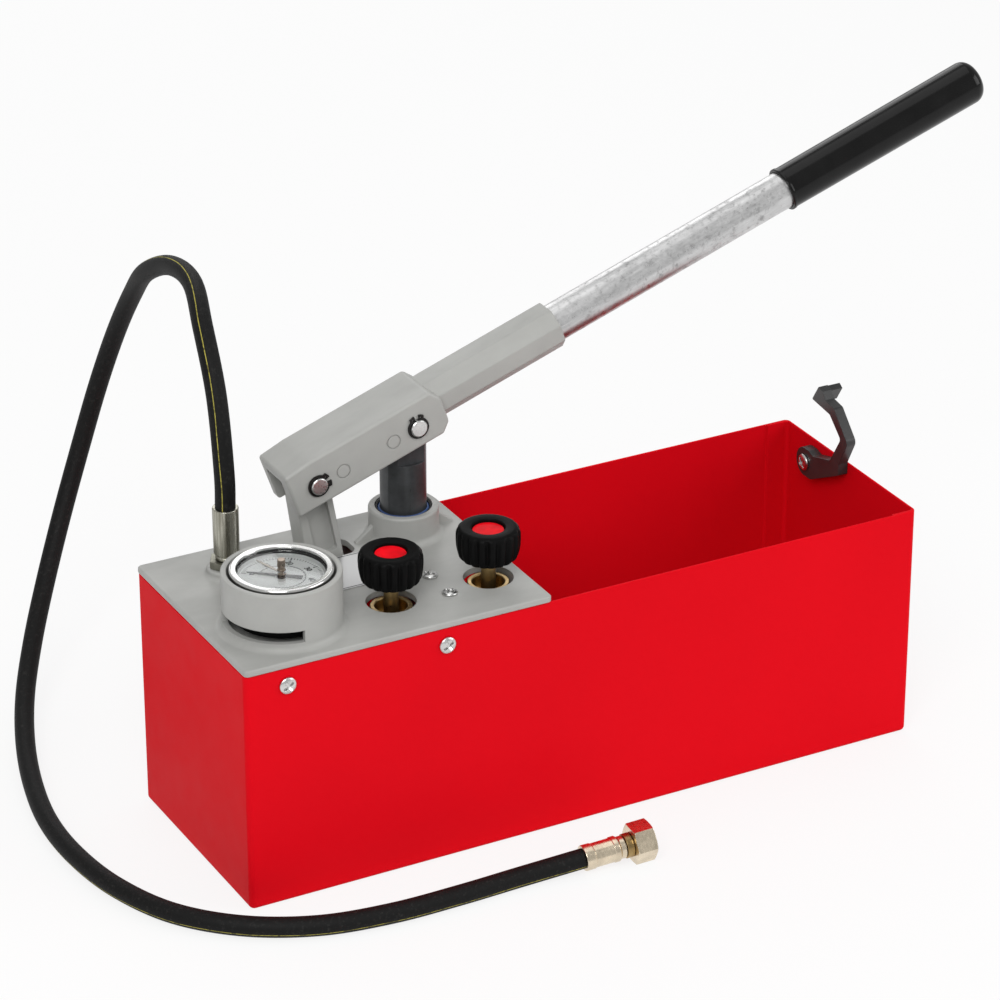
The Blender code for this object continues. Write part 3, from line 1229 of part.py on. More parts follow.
def lever_pins(axis):
    """Both pins through the fork, each with a retaining ring in a groove at either end."""
    face = FORK_WIDTH / 2
    groove_end = face + RING_THICKNESS + GAP * 2
    end = face + PIN_PROUD
    half_profile = [(GROOVE_RADIUS, face), (GROOVE_RADIUS, groove_end), (PIN_RADIUS, groove_end),
                    (PIN_RADIUS, end - PIN_CHAMFER), (PIN_RADIUS - PIN_CHAMFER, end), (0, end)]
    profile = half_profile[::-1] + [(PIN_RADIUS, face), (PIN_RADIUS, -face)]
    profile += [(radius, -height) for radius, height in half_profile]
    pins = (("rocker_pin", -PIN_SPACING, ROCKER_RING_TURN), ("piston_pin", 0, PLUNGER_RING_TURN))
    for name, x, turn in pins:
        piece(name, laid(turned(profile, SMALL_STEPS), "Y"), "zinc_steel", axis, (x, 0, 0))
        for side, label in ((-1, "front"), (1, "back")):
            low = side * (face + GAP)
            high = low + side * RING_THICKNESS
            ring = laid(prism(ring_outline(turn), min(low, high), max(low, high)), "Y")
            piece(f"{name}_ring_{label}", ring, "spring_steel", axis, (x, 0, 0))


def ring_outline(turn):
    """Open retaining ring with two ears at its gap, which points along the turn."""
    start = turn + RING_GAP_ANGLE / 2
    end = turn + math.tau - RING_GAP_ANGLE / 2
    ears = RING_EAR_ANGLE
    return (arc((0, 0), RING_EAR_RADIUS, start, start + ears, FLARE_STEPS)
            + arc((0, 0), RING_OUTER_RADIUS, start + ears, end - ears)
            + arc((0, 0), RING_EAR_RADIUS, end - ears, end, FLARE_STEPS)
            + arc((0, 0), RING_INNER_RADIUS, end, start, SMALL_STEPS))


def latch_tab(hook_top, hook_tip):
    """Thumb tab that stands out to the right of the tank, along the hook's upper end."""
    along = (hook_tip - hook_top).normalized()
    inward = Vector((along.y, -along.x))
    if inward.x > 0:
        inward = -inward
    trim = along * LATCH_CORNER_RADIUS / 2
    near = inward * LATCH_TAB_INSET
    far = inward * LATCH_TAB_THICKNESS
    corners = (hook_top + trim + near, hook_tip - trim + near, hook_tip - trim + far, hook_top + trim + far)
    start = -LATCH_THICKNESS + JOIN_OVERLAP
    return laid(prism([tuple(corner) for corner in corners], start, start + LATCH_TAB_WIDTH), "X")


def latch():
    """Hook that holds the lever down for transport, its bolt and its nut."""
    height = TANK_HEIGHT - LATCH_BELOW_RIM
    inner_wall = TANK_LENGTH / 2 - TANK_SHEET
    axis = mount("latch_axis", (inner_wall - GAP, from_front(LATCH_FROM_FRONT), height))
    boss = LATCH_BOSS_RADIUS
    corners = [(-LATCH_REACH * y, LATCH_RISE * z, LATCH_CORNER_RADIUS * radius)
               for y, z, radius in LATCH_SHARES]
    hook_top = Vector(corners[LATCH_TAB_TOP_CORNER][:2])
    hook_tip = Vector(corners[LATCH_TAB_TIP_CORNER][:2])
    corners += [(boss * y, boss * z, boss * radius) for y, z, radius in LATCH_BOSS_SHARES]
    arm = laid(prism(rounded(corners), -LATCH_THICKNESS, 0), "X")
    body = piece("latch_hook", arm, "black_plastic", axis)
    join(body, "tab", latch_tab(hook_top, hook_tip))
    hole = laid(rod(LATCH_SCREW_RADIUS + SCREW_CLEARANCE, -LATCH_THICKNESS - CUT_OVERRUN, CUT_OVERRUN), "X")
    cut(body, "hole", hole)

    length = LATCH_THICKNESS + TANK_SHEET + LATCH_NUT_HEIGHT + LATCH_BOLT_PROUD + GAP * 4
    bolt = pan_screw(LATCH_HEAD_RADIUS, HEAD_HEIGHT, LATCH_SCREW_RADIUS, length)
    fixed = mount("latch_bolt_axis", (inner_wall - GAP, from_front(LATCH_FROM_FRONT), height))
    piece("latch_screw", bolt, "zinc_steel", fixed, (-LATCH_THICKNESS - GAP, 0, 0), (0, -math.pi / 2, 0))
    nut_start = TANK_SHEET + GAP * 2
    nut_end = nut_start + LATCH_NUT_HEIGHT
    nut_shape = laid(prism(hexagon(LATCH_NUT_FLATS), nut_start, nut_end), "X")
    nut = piece("latch_nut", nut_shape, "zinc_steel", fixed)
    cut(nut, "thread", laid(rod(LATCH_SCREW_RADIUS + GAP, 0, nut_end + CUT_OVERRUN), "X"))


def route_points():
    """Evenly spaced points on a smooth curve through the hose's route."""
    route = [Vector(point) for point in HOSE_ROUTE]
    ends = [route[0] * 2 - route[1], *route, route[-1] * 2 - route[-2]]
    dense = []
    for before, start, end, after in zip(ends, ends[1:], ends[2:], ends[3:]):
        for step in range(HOSE_CURVE_STEPS):
            t = step / HOSE_CURVE_STEPS
            dense.append((start * 2 + (end - before) * t
                          + (before * 2 - start * 5 + end * 4 - after) * t ** 2
                          + (start * 3 - before - end * 3 + after) * t ** 3) / 2)
    dense.append(route[-1])
    length = sum((b - a).length for a, b in zip(dense, dense[1:]))
    count = round(length / HOSE_POINT_SPACING)
    points = [dense[0]]
    run = 0
    for start, end in zip(dense, dense[1:]):
        run += (end - start).length
        if run >= length / count * len(points) and len(points) < count:
            points.append(end)
    return points + [dense[-1]]


def hose():
    """Rubber pressure hose as one round tube along its route."""
    curve = bpy.data.curves.new("hose", "CURVE")
    curve.dimensions = "3D"
    curve.bevel_depth = HOSE_RADIUS
    curve.bevel_resolution = 2
    curve.use_fill_caps = True
    points = route_points()
    spline = curve.splines.new("POLY")
    spline.points.add(len(points) - 1)
    for slot, point in zip(spline.points, points):
        slot.co = (*point, 1)
    curve.materials.append(finish("black_rubber"))
    made = bpy.data.objects.new("hose", curve)
    bpy.context.collection.objects.link(made)


def ferrule(length):
    """Crimped ferrule along +Z from its neck at the fitting to its open end at the hose."""
    waist = FERRULE_RADIUS - FERRULE_CRIMP
    waist_low, waist_high = (length * share for share in FERRULE_WAIST_SHARES)
    neck_low = FERRULE_NECK - FERRULE_RADIUS + FERRULE_NECK_RADIUS
    return turned(((0, length), (waist, length), (FERRULE_RADIUS, length - FERRULE_CRIMP),
                   (FERRULE_RADIUS, waist_high + FERRULE_CRIMP), (waist, waist_high), (waist, waist_low),
                   (FERRULE_RADIUS, waist_low - FERRULE_CRIMP), (FERRULE_RADIUS, FERRULE_NECK),
                   (FERRULE_NECK_RADIUS, neck_low), (FERRULE_NECK_RADIUS, 0), (0, 0)), SMALL_STEPS)


def hose_fittings(deck):
    """Fitting at the cover, and the swivelling union at the hose's far end."""
    place = (HOSE_FROM_LEFT, HOSE_FROM_FRONT, OUTLET_PAD_HEIGHT + GAP)
    nut = piece("hose_nut", prism(hexagon(HOSE_NUT_FLATS), 0, HOSE_NUT_HEIGHT), "brass", deck, place)
    join(nut, "stem", rod(HOSE_STEM_RADIUS, -HOSE_STEM_LENGTH, JOIN_OVERLAP))
    seat = OUTLET_PAD_HEIGHT + HOSE_NUT_HEIGHT + GAP * 2
    piece("hose_ferrule_top", ferrule(FERRULE_LENGTH), "nickel", deck,
          (HOSE_FROM_LEFT, HOSE_FROM_FRONT, seat))

    end = Vector(HOSE_ROUTE[-1])
    run = (end - Vector(HOSE_ROUTE[-2])).normalized()
    turn = run.to_track_quat("Z", "Y").to_euler()
    far = mount("far_fitting", end + run * GAP, turn)
    body = ferrule(END_FERRULE_LENGTH)
    for vertex in body.verts:
        vertex.co.z = END_FERRULE_LENGTH - vertex.co.z
    faced_out(body)
    piece("hose_ferrule_end", body, "nickel", far)

    start = END_FERRULE_LENGTH + GAP
    collar = start + NIPPLE_COLLAR
    wall_end = collar + GAP + UNION_WALL + GAP
    head_end = wall_end + UNION_WALL
    nipple = turned(((NIPPLE_BORE_RADIUS, head_end), (NIPPLE_NECK_RADIUS, head_end),
                     (NIPPLE_HEAD_RADIUS, wall_end + UNION_WALL / 2), (NIPPLE_HEAD_RADIUS, wall_end),
                     (NIPPLE_NECK_RADIUS, wall_end), (NIPPLE_NECK_RADIUS, collar), (NIPPLE_RADIUS, collar),
                     (NIPPLE_RADIUS, start), (NIPPLE_BORE_RADIUS, start)), SMALL_STEPS)
    piece("hose_nipple", nipple, "brass", far)
    union_nut(far, collar + GAP)


def union_nut(far, start):
    """Hexagon nut, turned round at both ends, that spins on the nipple."""
    end = start + UNION_LENGTH
    corner = UNION_FLATS / math.sqrt(3)
    nut = piece("union_nut", prism(hexagon(UNION_FLATS), start, end), "nickel", far)
    chamfer = UNION_CHAMFER
    keep = turned(((0, end + WELD), (corner - chamfer, end + WELD), (corner + chamfer, end - chamfer),
                   (corner + chamfer, start + chamfer), (corner - chamfer, start - WELD), (0, start - WELD)))
    combine(nut, "chamfers", keep, "INTERSECT")
    neck = NIPPLE_NECK_RADIUS + GAP
    cavity = turned(((0, end + CUT_OVERRUN), (UNION_BORE_RADIUS, end + CUT_OVERRUN),
                     (UNION_BORE_RADIUS, start + UNION_WALL), (neck, start + UNION_WALL),
                     (neck, start - CUT_OVERRUN), (0, start - CUT_OVERRUN)), SMALL_STEPS)
    cut(nut, "cavity", cavity)


def main():
    clear_scene()
    deck = mount("cover_axis", (from_left(0), from_front(0), COVER_TOP))
    tank()
    cover(deck)
    cover_screws(deck)
    valve_block(deck)
    pump_cylinder(deck)
    plunger_seals(deck)
    suction_parts(deck)
    valves(deck)
    gauge(deck)
    plunger(deck)
    rocker(deck)
    pivot_pin(deck)
    lever(deck)
    latch()
    hose_fittings(deck)
    hose()


main()
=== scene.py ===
"""Visible pieces of a hand-worked hydrostatic test pump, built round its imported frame.

Lengths are in metres in the frame's own axes: +X along the tank to the latch, +Y to the lever's
side and +Z up, with the origin in the middle of the tank's base.
"""

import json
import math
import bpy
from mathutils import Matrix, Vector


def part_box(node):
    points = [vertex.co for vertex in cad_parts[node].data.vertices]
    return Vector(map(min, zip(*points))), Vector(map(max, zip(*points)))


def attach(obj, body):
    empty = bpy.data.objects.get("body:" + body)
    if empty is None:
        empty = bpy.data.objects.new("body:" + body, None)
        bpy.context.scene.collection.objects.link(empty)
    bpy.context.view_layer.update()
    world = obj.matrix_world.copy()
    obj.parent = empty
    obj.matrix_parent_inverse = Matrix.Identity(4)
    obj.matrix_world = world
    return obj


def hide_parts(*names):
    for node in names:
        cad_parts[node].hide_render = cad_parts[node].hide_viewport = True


bl_info = {
    "name": "Hydrostatic Test Pump",
    "version": (1, 0, 0),
    "blender": (4, 5, 0),
    "location": "View3D > Sidebar > Test Pump",
    "description": "Builds the finished pieces of a hand-worked test pump round its frame",
    "category": "Object",
}

import bmesh
import bpy
from mathutils import Euler, Matrix, Vector

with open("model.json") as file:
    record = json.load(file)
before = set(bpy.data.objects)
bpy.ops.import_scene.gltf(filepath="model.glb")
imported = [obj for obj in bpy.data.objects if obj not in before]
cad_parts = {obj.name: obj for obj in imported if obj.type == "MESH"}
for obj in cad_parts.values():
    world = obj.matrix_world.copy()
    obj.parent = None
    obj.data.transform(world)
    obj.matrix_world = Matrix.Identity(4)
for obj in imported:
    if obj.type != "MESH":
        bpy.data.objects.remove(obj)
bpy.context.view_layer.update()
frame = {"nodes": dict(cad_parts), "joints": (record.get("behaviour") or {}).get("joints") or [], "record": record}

# Places that the frame gives
JOINTS = {joint["name"]: joint for joint in frame["joints"]}
TANK_LOW, TANK_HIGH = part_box("tank")
COVER_LOW, COVER_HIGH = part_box("cover_plate")
LEVER_PIN = Vector(JOINTS["lever_swing"]["pos_m"])
ROCKER_PIN = Vector(JOINTS["rocker_turn"]["pos_m"])
PIVOT_PIN = sum(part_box("rocker_pivot_pin"), Vector()) / 2
VALVES = [Vector(JOINTS[f"valve_{number}_turn"]["pos_m"]) for number in (1, 2)]
DECK = VALVES[0].z
GAUGE = Vector(JOINTS["gauge_reading"]["pos_m"]).xy.to_3d() + Vector((0, 0, DECK))
LATCH = Vector(JOINTS["latch_swing"]["pos_m"])
UNION = Vector(JOINTS["union_swivel"]["pos_m"])
UNION_RUN = Vector(JOINTS["union_swivel"]["axis"])
PUMP = Vector((LEVER_PIN.x, LEVER_PIN.y, DECK))

# Roundness and cuts
GAP = 0.0003
OVERRUN = 0.003
OVERLAP = 0.001
WELD = 0.000001
ROUND = 96
SMALL_ROUND = 48
CORNER = 8
SHARP_ANGLE = math.radians(32)

# Tank
SHEET = 0.0015
TANK_CORNER = 0.004
TANK_FOLD = 0.0035
TANK_FOLD_STEPS = 5
TANK_BEVEL = 0.00045
SEAM_WIDTH = 0.017
SCREW_BELOW_RIM = 0.0125
SIDE_SCREWS = (0.0304, 0.1472)

# Cover casting, measured from the tank's left end and front and from the cover's top
PLATE = 0.0045
PLATE_CORNER = 0.0035
PLATE_EDGE = 0.0014
PLATE_LOW_EDGE = 0.0008
SKIRT_DEPTH = 0.020
SKIRT_WALL = 0.005
BOSS_RADIUS = 0.0243
BOSS_HEIGHT = 0.021
BOSS_FILLET = 0.005
BOSS_EDGE = 0.0018
SEAL_BORE = 0.01975
SEAL_DEPTH = 0.010
LOWER_BOSS_RADIUS = 0.030
LOWER_BOSS_DEPTH = 0.0148
RIB_REACH = 0.013
RIB_HEIGHT = 0.0125
RIB_THICKNESS = 0.004
GUARD_RADIUS = 0.0401
GUARD_WALL = 0.0041
GUARD_HEIGHT = 0.0404
GUARD_FILLET = 0.0046
GUARD_EDGE = 0.0013
WINDOW_SILL = 0.0057
WINDOW_HEIGHT = 0.0085
WINDOW_TURN = (math.radians(-198), math.radians(-94))
SOCKET_HOLE = 0.0135
VALVE_HOLE = 0.017
OUTLET = (0.050, 0.133)
OUTLET_PAD = 0.014
OUTLET_PAD_HEIGHT = 0.0052
OUTLET_PAD_EDGES = (0.0016, 0.003)
OUTLET_HOLE = 0.008
SLOT = (0.0225, 0.0190, 0.024, 0.008)
LUG = (0.022, 0.005, 0.011)
PIVOT_RADIUS = 0.005
TOP_SCREWS = ((0.1673, 0.0347), (0.1673, 0.0634))
TOP_SCREW_RADIUS = 0.0025

# Name plate without a name
NAME_PLATE = (0.1025, 0.1515, 0.0720, 0.1175)
NAME_PLATE_THICKNESS = 0.0005
NAME_PLATE_LINE = 0.0006
NAME_PLATE_MARGIN = 0.0012

# Screws
SIDE_HEAD = 0.006
TOP_HEAD = 0.0053
HEAD_HEIGHT = 0.0026
CROSS_ARM = 0.0021
CROSS_REACH_SHARE = 0.86
CROSS_TURN = math.radians(33)
CROSS_DEPTH = 0.0022
# Shares of an arm's length and width that are left at its floor
CROSS_TAPER = (0.45, 0.8)
# Shares of a head's height in its rim and in its dome
HEAD_SHARES = (0.30, 0.70)
HEAD_STEPS = 8

# Pump
PLUNGER_RADIUS = 0.016
PLUNGER_LENGTH = 0.1581
TONGUE_THICKNESS = 0.025
TONGUE_RADIUS = 0.010
TONGUE_SHOULDER = 0.014
TONGUE_DEPTH = 0.0315
SEAL_SPLIT = 0.0181
WIPER_INSET = 0.0004
CYLINDER_RADIUS = 0.0225
CYLINDER_BOTTOM = 0.1098
CYLINDER_FLOOR = 0.006
CYLINDER_PORT = 0.004

# Lever, measured along and across it from the plunger's pin
FORK = (-0.0993, 0.0227, -0.0155, 0.0195)
FORK_WIDTH = 0.042
FORK_EDGE = 0.0022
FORK_CHAMFER = (0.0064, 0.0088, 0.0069)
FORK_SLOT = (0.026, 0.0105, 0.0181)
FORK_SHIFT = -0.002
FORK_LEFT_DROP = 0.0018
ROCKER_SLOT = (-0.0123, 0.0108, -0.040)
SOCKET_END = 0.1227
SOCKET_SIZE = (0.033, 0.030, 0.0087)
SOCKET_EDGE = 0.0009
TUBE_ABOVE_PINS = 0.0027
TUBE_RADIUS = 0.0134
TUBE_WALL = 0.002
TUBE_START = 0.0327
GRIP_START = 0.3157
GRIP_LENGTH = 0.167
GRIP_RADII = (0.0152, 0.01575)
GRIP_LIP = (0.0022, 0.0006)
GRIP_END_WALL = 0.012
GRIP_DOME_SHARE = 0.55
EJECTOR_MARKS = (-0.0595, -0.0195)
EJECTOR_HEIGHT = -0.0004
EJECTOR_RADIUS = 0.0052
EJECTOR_LINE = 0.0008
EJECTOR_DEPTH = 0.0006

# Pins and retaining rings
PIN_RADIUS = 0.006
PIN_PROUD = 0.003
PIN_CHAMFER = 0.0006
GROOVE_RADIUS = 0.0053
RING_THICKNESS = 0.001
RING_RADII = (0.0056, 0.0078, 0.0096)
RING_GAP = math.radians(20)
RING_EAR = math.radians(24)
RING_EAR_SLOPE = 0.12
RING_BEVEL = 0.00015
RING_HOLE = 0.0007
RING_TURNS = {"rocker_pin": math.radians(7), "piston_pin": math.radians(82)}

# Rocker link
ROCKER_WIDTH = 0.026
ROCKER_THICKNESS = 0.020
ROCKER_EYE = 0.010
ROCKER_FOOT = 0.014
ROCKER_FLANGE = 0.005
ROCKER_WEB = 0.012
ROCKER_EDGE = 0.0012
PIVOT_HOLE = (-0.0027, -0.0008, 0.0083)

# Gauge, measured up from the cover's top
CASE_TOP = 0.0365
CASE_RADIUS = 0.032
DIAL_TOP = 0.0335
DIAL_RADIUS = 0.029
DIAL_THICKNESS = 0.0008
DIAL_HOLE = 0.002
DIAL_WALL = 0.0004
GLASS_RADIUS = 0.0315
GLASS_LOW = 0.0375
GLASS_THICKNESS = 0.0022
GLASS_HOLE = 0.003
BEZEL_WALL = 0.001
BEZEL_LIP = (0.0298, 0.0019)
BEZEL_ROLL = 0.0016
BEZEL_SKIRT = 0.0088
ZERO_MARK = math.radians(140)
DIAL_SWEEP = math.radians(270)
TICK_RADIUS = 0.0274
TICK_LENGTHS = (0.0019, 0.0034)
TICK_WIDTHS = (0.00042, 0.00085)
INNER_SCALE_RADIUS = 0.0155
INNER_TICK = (0.0013, 0.00036)
PRINT_THICKNESS = 0.00008
FIGURE_RADIUS = 0.0201
FIGURE_SIZE = 0.0056
FIGURE_WEIGHT = 0.00014
FIGURES = (0, 10, 20, 30, 40, 50, 60)
NEEDLE = (0.024, 0.014, 0.0026, 0.0008, 0.0034, 0.0012)
NEEDLE_LIFT = 0.0007
# Width shares of a hand at its tail, near its tip and at its tip, and where the second one lies
HAND_SHARES = (1.6, 0.55, 0.12, 0.8)
# Shares of the hub's radius and height where its edge slopes
HUB_SLOPE = (0.8, 0.7)
DRAG_HAND = (0.025, 0.0034, 0.0021)
DRAG_REST = math.radians(105.5)
DRAG_LIFT = 0.001
STEM = (0.00265, 0.0021, 0.0079, 0.0008, 0.0058)
STEM_RIDGES = 20
STEM_RIDGE = 0.00018
STEM_RIDGE_SHARE = 0.9

# Valves, measured from the cover's top
GLAND_RADIUS = 0.0144
GLAND_TOP = -0.0028
GLAND_LOW = -0.0195
GLAND_SPIGOT = (0.0097, 0.006)
GLAND_CUP = (0.011, 0.009)
GLAND_RIDGES = 5
GLAND_RIDGE = 0.0003
SPINDLE_RADIUS = 0.005
SPINDLE_LOW = -0.0275
KNOB_RADIUS = 0.0218
KNOB_HEIGHT = 0.023
KNOB_LIFT = 0.015
KNOB_SOCKET = 0.012
DISC_RADIUS = 0.0107
DISC_RECESS = 0.0034
DISC_THICKNESS = 0.0008
KNOB_RIB_SHARE = 0.72
KNOB_CURVE_STEPS = 3
# Height, radius and rib depth along the knob's side, as shares
KNOB_SHARES = (
    (0.00, 0.80, 0.30), (0.03, 0.85, 0.80), (0.07, 0.885, 1.0), (0.15, 0.935, 1.0), (0.38, 0.985, 1.0),
    (0.62, 1.00, 1.0), (0.78, 0.998, 0.9), (0.87, 0.98, 0.6), (0.93, 0.945, 0.25), (0.972, 0.90, 0.08),
    (0.992, 0.855, 0.0), (1.00, 0.80, 0.0), (1.00, 0.66, 0.0))

# Pipes in the tank, measured down from the cover's top
SUCTION = (0.009, 0.006, 0.030)
SUCTION_NUT = (0.024, 0.008)
STRAINER = (0.014, 0.0015, 0.010)
STRAINER_SLOT_WIDTH = 0.0016

# Latch, measured from its bolt
LATCH_REACH = 0.055
LATCH_RISE = 0.0656
LATCH_THICKNESS = 0.0075
LATCH_BOSS = 0.0108
LATCH_CORNER = 0.002
LATCH_TAB = (0.017, 0.005, 0.0002)
LATCH_SHARES = (
    (0.60, 0.229, 1.5), (0.829, 0.556, 1.5), (0.5545, 0.762, 0.8), (0.127, 0.805, 0.4),
    (0.273, 1.000, 0.6), (0.371, 0.976, 0.6), (0.4545, 0.892, 0.8), (0.6545, 0.866, 1.5),
    (1.000, 0.564, 2.5), (0.818, 0.259, 1.5), (0.818, 0.122, 0.8))
LATCH_BOSS_SHARES = (
    (-0.75, -1.0, 0.6), (1.0, -1.0, 0.95), (1.0, 1.0, 0.95), (-0.45, 1.0, 0.4), (-1.0, 0.82, 0.3))
LATCH_SCREW = (0.006, 0.0026, 0.003)
LATCH_NUT = (0.010, 0.0045)
LATCH_BEVEL = 0.0006
LATCH_NUT_BEVEL = 0.0003

# Hose and fittings
HOSE_NUT = (0.022, 0.0052)
FERRULE = (0.009, 0.0005, 0.0078, 0.005)
FERRULE_WAIST_SHARES = (0.30, 0.76)
FERRULE_LENGTHS = (0.0379, 0.030)
# Radius and height of the top ferrule's foot, from the outlet nut
SLEEVE_FOOT = ((0, 0), (0.0073, 0), (0.0078, 0.0005), (0.0078, 0.0020), (0.0074, 0.0024), (0.0074, 0.0030),
               (0.0083, 0.0036), (0.0088, 0.0050))
CRIMP_FLATS = 8
CRIMP_DEPTH = 0.00022
HOSE_SIDES = 40
HOSE_RING_SPACING = 0.0035
HOSE_CURVE_STEPS = 24
HOSE_LINE_AT = 0.383
NIPPLE = (0.0085, 0.005, 0.007, 0.0095, 0.003)
UNION_NUT = (0.025, 0.0145, 0.004, 0.0103, 0.0014)
# Chamfers that the nut's ends start inside its corners and rise outwards, and the steps between
NUT_BULGE = (1.2, 2)
NUT_BULGE_STEPS = (0, 0.25, 0.5, 0.75, 1)
HOSE_ROUTE = (
    (-0.2075, 0.0480, 0.2268),
    (-0.2075, 0.0480, 0.2540),
    (-0.2055, 0.0610, 0.3040),
    (-0.1985, 0.0950, 0.3390),
    (-0.1845, 0.1420, 0.3510),
    (-0.1785, 0.1910, 0.3440),
    (-0.1775, 0.2360, 0.3220),
    (-0.1725, 0.2740, 0.2900),
    (-0.1745, 0.3030, 0.2490),
    (-0.1835, 0.3190, 0.2030),
    (-0.1985, 0.3220, 0.1550),
    (-0.2195, 0.3110, 0.1110),
    (-0.2445, 0.2870, 0.0730),
    (-0.2695, 0.2540, 0.0460),
    (-0.2935, 0.2130, 0.0270),
    (-0.3125, 0.1680, 0.0160),
    (-0.3265, 0.1210, 0.0100),
    (-0.3355, 0.0720, 0.0080),
    (-0.3365, 0.0220, 0.0080),
    (-0.3285, -0.0280, 0.0080),
    (-0.3085, -0.0740, 0.0075),
    (-0.2745, -0.1100, 0.0075),
    (-0.2305, -0.1330, 0.0075),
    (-0.1815, -0.1420, 0.0075),
    (-0.1315, -0.1430, 0.0075),
    (-0.0855, -0.1414, 0.0073),
    (-0.0405, -0.1448, 0.0104),
)

# Camera and stage
CAMERA_TURN = math.radians(-28.28)
CAMERA_RISE = math.radians(26.22)
CAMERA_DISTANCE = 3.024
CAMERA_TARGET = Vector((0.0345, 0.111, 0.150))
CAMERA_LENS = 153.1
FLOOR_RADIUS = 9.0
FLOOR_TONE = 0.82
FLOOR_GLOW = 0.82
SKY_LIGHT = 0.50
# Each lamp's place, size and power
LAMPS = {
    "key_light": ((-1.5, -1.9, 2.3), 1.6, 54.0),
    "fill_light": ((2.2, -1.6, 1.5), 1.8, 29.0),
    "top_light": ((0.1, 0.4, 2.6), 1.8, 9.0),
    "back_light": ((0.6, 2.4, 1.6), 1.6, 13.0),
}


class PumpLooks(bpy.types.PropertyGroup):
    """Colours of the pump's finishes."""

    red: bpy.props.FloatVectorProperty(
        name="Tank Red", description="Paint of the tank", subtype="COLOR",
        default=(0.67, 0.0035, 0.010), min=0, max=1)
    grey: bpy.props.FloatVectorProperty(
        name="Casting Grey", description="Paint of the cover, rocker and lever head", subtype="COLOR",
        default=(0.360, 0.361, 0.345), min=0, max=1)
    knob: bpy.props.FloatVectorProperty(
        name="Knob Black", description="Moulding of the valve knobs and latch", subtype="COLOR",
        default=(0.004, 0.004, 0.004), min=0, max=1)
    plunger: bpy.props.FloatVectorProperty(
        name="Plunger Steel", description="Darkened steel of the plunger", subtype="COLOR",
        default=(0.052, 0.055, 0.058), min=0, max=1)
    line: bpy.props.FloatVectorProperty(
        name="Hose Line", description="Thin line along the hose", subtype="COLOR",
        default=(0.42, 0.37, 0.07), min=0, max=1)


class PumpSizes(bpy.types.PropertyGroup):
    """Sizes that change the look of the pump and not its fit."""

    knob_ribs: bpy.props.IntProperty(
        name="Knob Ribs", description="Ribs round each valve knob", default=18, min=6, max=36)
    knob_groove: bpy.props.FloatProperty(
        name="Knob Groove", description="Depth of the grooves between the ribs", unit="LENGTH",
        default=0.0022, min=0, max=0.004)
    dial_marks: bpy.props.IntProperty(
        name="Dial Marks", description="Steps of the dial's outer scale", default=60, min=6, max=120)
    strainer_slots: bpy.props.IntProperty(
        name="Strainer Slots", description="Slots round the suction strainer", default=18, min=6, max=36)
    hose_radius: bpy.props.FloatProperty(
        name="Hose Radius", description="Outer radius of the pressure hose", unit="LENGTH",
        default=0.007, min=0.003, max=0.015)


def arc(centre, radius, start, end, steps=CORNER):
    """Points along an arc, both ends included."""
    x, y = centre
    turns = [start + (end - start) * step / steps for step in range(steps + 1)]
    return [(x + radius * math.cos(turn), y + radius * math.sin(turn)) for turn in turns]


def rounded(corners, steps=CORNER):
    """Outline through (x, y, radius) corners, each with an arc of its radius."""
    outline = []
    for index, (x, y, radius) in enumerate(corners):
        corner = Vector((x, y))
        before = (Vector(corners[index - 1][:2]) - corner).normalized()
        after = (Vector(corners[(index + 1) % len(corners)][:2]) - corner).normalized()
        if not radius:
            outline.append((x, y))
            continue
        half = before.angle(after) / 2
        centre = corner + (before + after).normalized() * radius / math.sin(half)
        leg = radius / math.tan(half)
        first = corner + before * leg - centre
        last = corner + after * leg - centre
        start = math.atan2(first.y, first.x)
        turn = math.atan2(first.cross(last), first.dot(last))
        outline += arc(centre, radius, start, start + turn, steps)
    return outline


def rectangle(left, right, front, back, radius=0.0):
    """Rectangle's outline with equal round corners."""
    corners = ((left, front), (right, front), (right, back), (left, back))
    return rounded([(x, y, radius) for x, y in corners])


def smooth_run(ends, steps):
    """Points of a curve through all but the first and last of its points."""
    run = []
    for before, start, end, after in zip(ends, ends[1:], ends[2:], ends[3:]):
        for step in range(steps):
            t = step / steps
            run.append((start * 2 + (end - before) * t + (before * 2 - start * 5 + end * 4 - after) * t ** 2
                        + (start * 3 - before - end * 3 + after) * t ** 3) / 2)
    return [*run, ends[-2]]


def hexagon(flats):
    """Hexagon's outline with one flat square to +Y."""
    return arc((0, 0), flats / math.sqrt(3), 0, math.tau * 5 / 6, 5)


def faced_out(shape):
    """The same shape with every face pointing out."""
    shape.normal_update()
    bmesh.ops.recalc_face_normals(shape, faces=shape.faces)
    return shape


def prism(outline, low, high):
    """Closed solid with an XY outline, from one height to another."""
    shape = bmesh.new()
    base = shape.faces.new([shape.verts.new((x, y, low)) for x, y in outline])
    for item in bmesh.ops.extrude_face_region(shape, geom=[base])["geom"]:
        if isinstance(item, bmesh.types.BMVert):
            item.co.z = high
    return faced_out(shape)


def turned(profile, steps=ROUND):
    """Solid turned about Z from (radius, height) points; a profile off the axis closes itself."""
    shape = bmesh.new()
    line = [shape.verts.new((radius, 0, height)) for radius, height in profile]
    pairs = list(zip(line, line[1:]))
    if profile[0][0] > 0:
        pairs.append((line[-1], line[0]))
    edges = [shape.edges.new(pair) for pair in pairs]
    bmesh.ops.spin(shape, geom=line + edges, cent=(0, 0, 0), axis=(0, 0, 1), dvec=(0, 0, 0),
                   angle=math.tau, steps=steps, use_merge=True, use_duplicate=False)
    bmesh.ops.remove_doubles(shape, verts=shape.verts, dist=WELD)
    return faced_out(shape)


def rod(radius, low, high, steps=SMALL_ROUND):
    return turned(((0, high), (radius, high), (radius, low), (0, low)), steps)


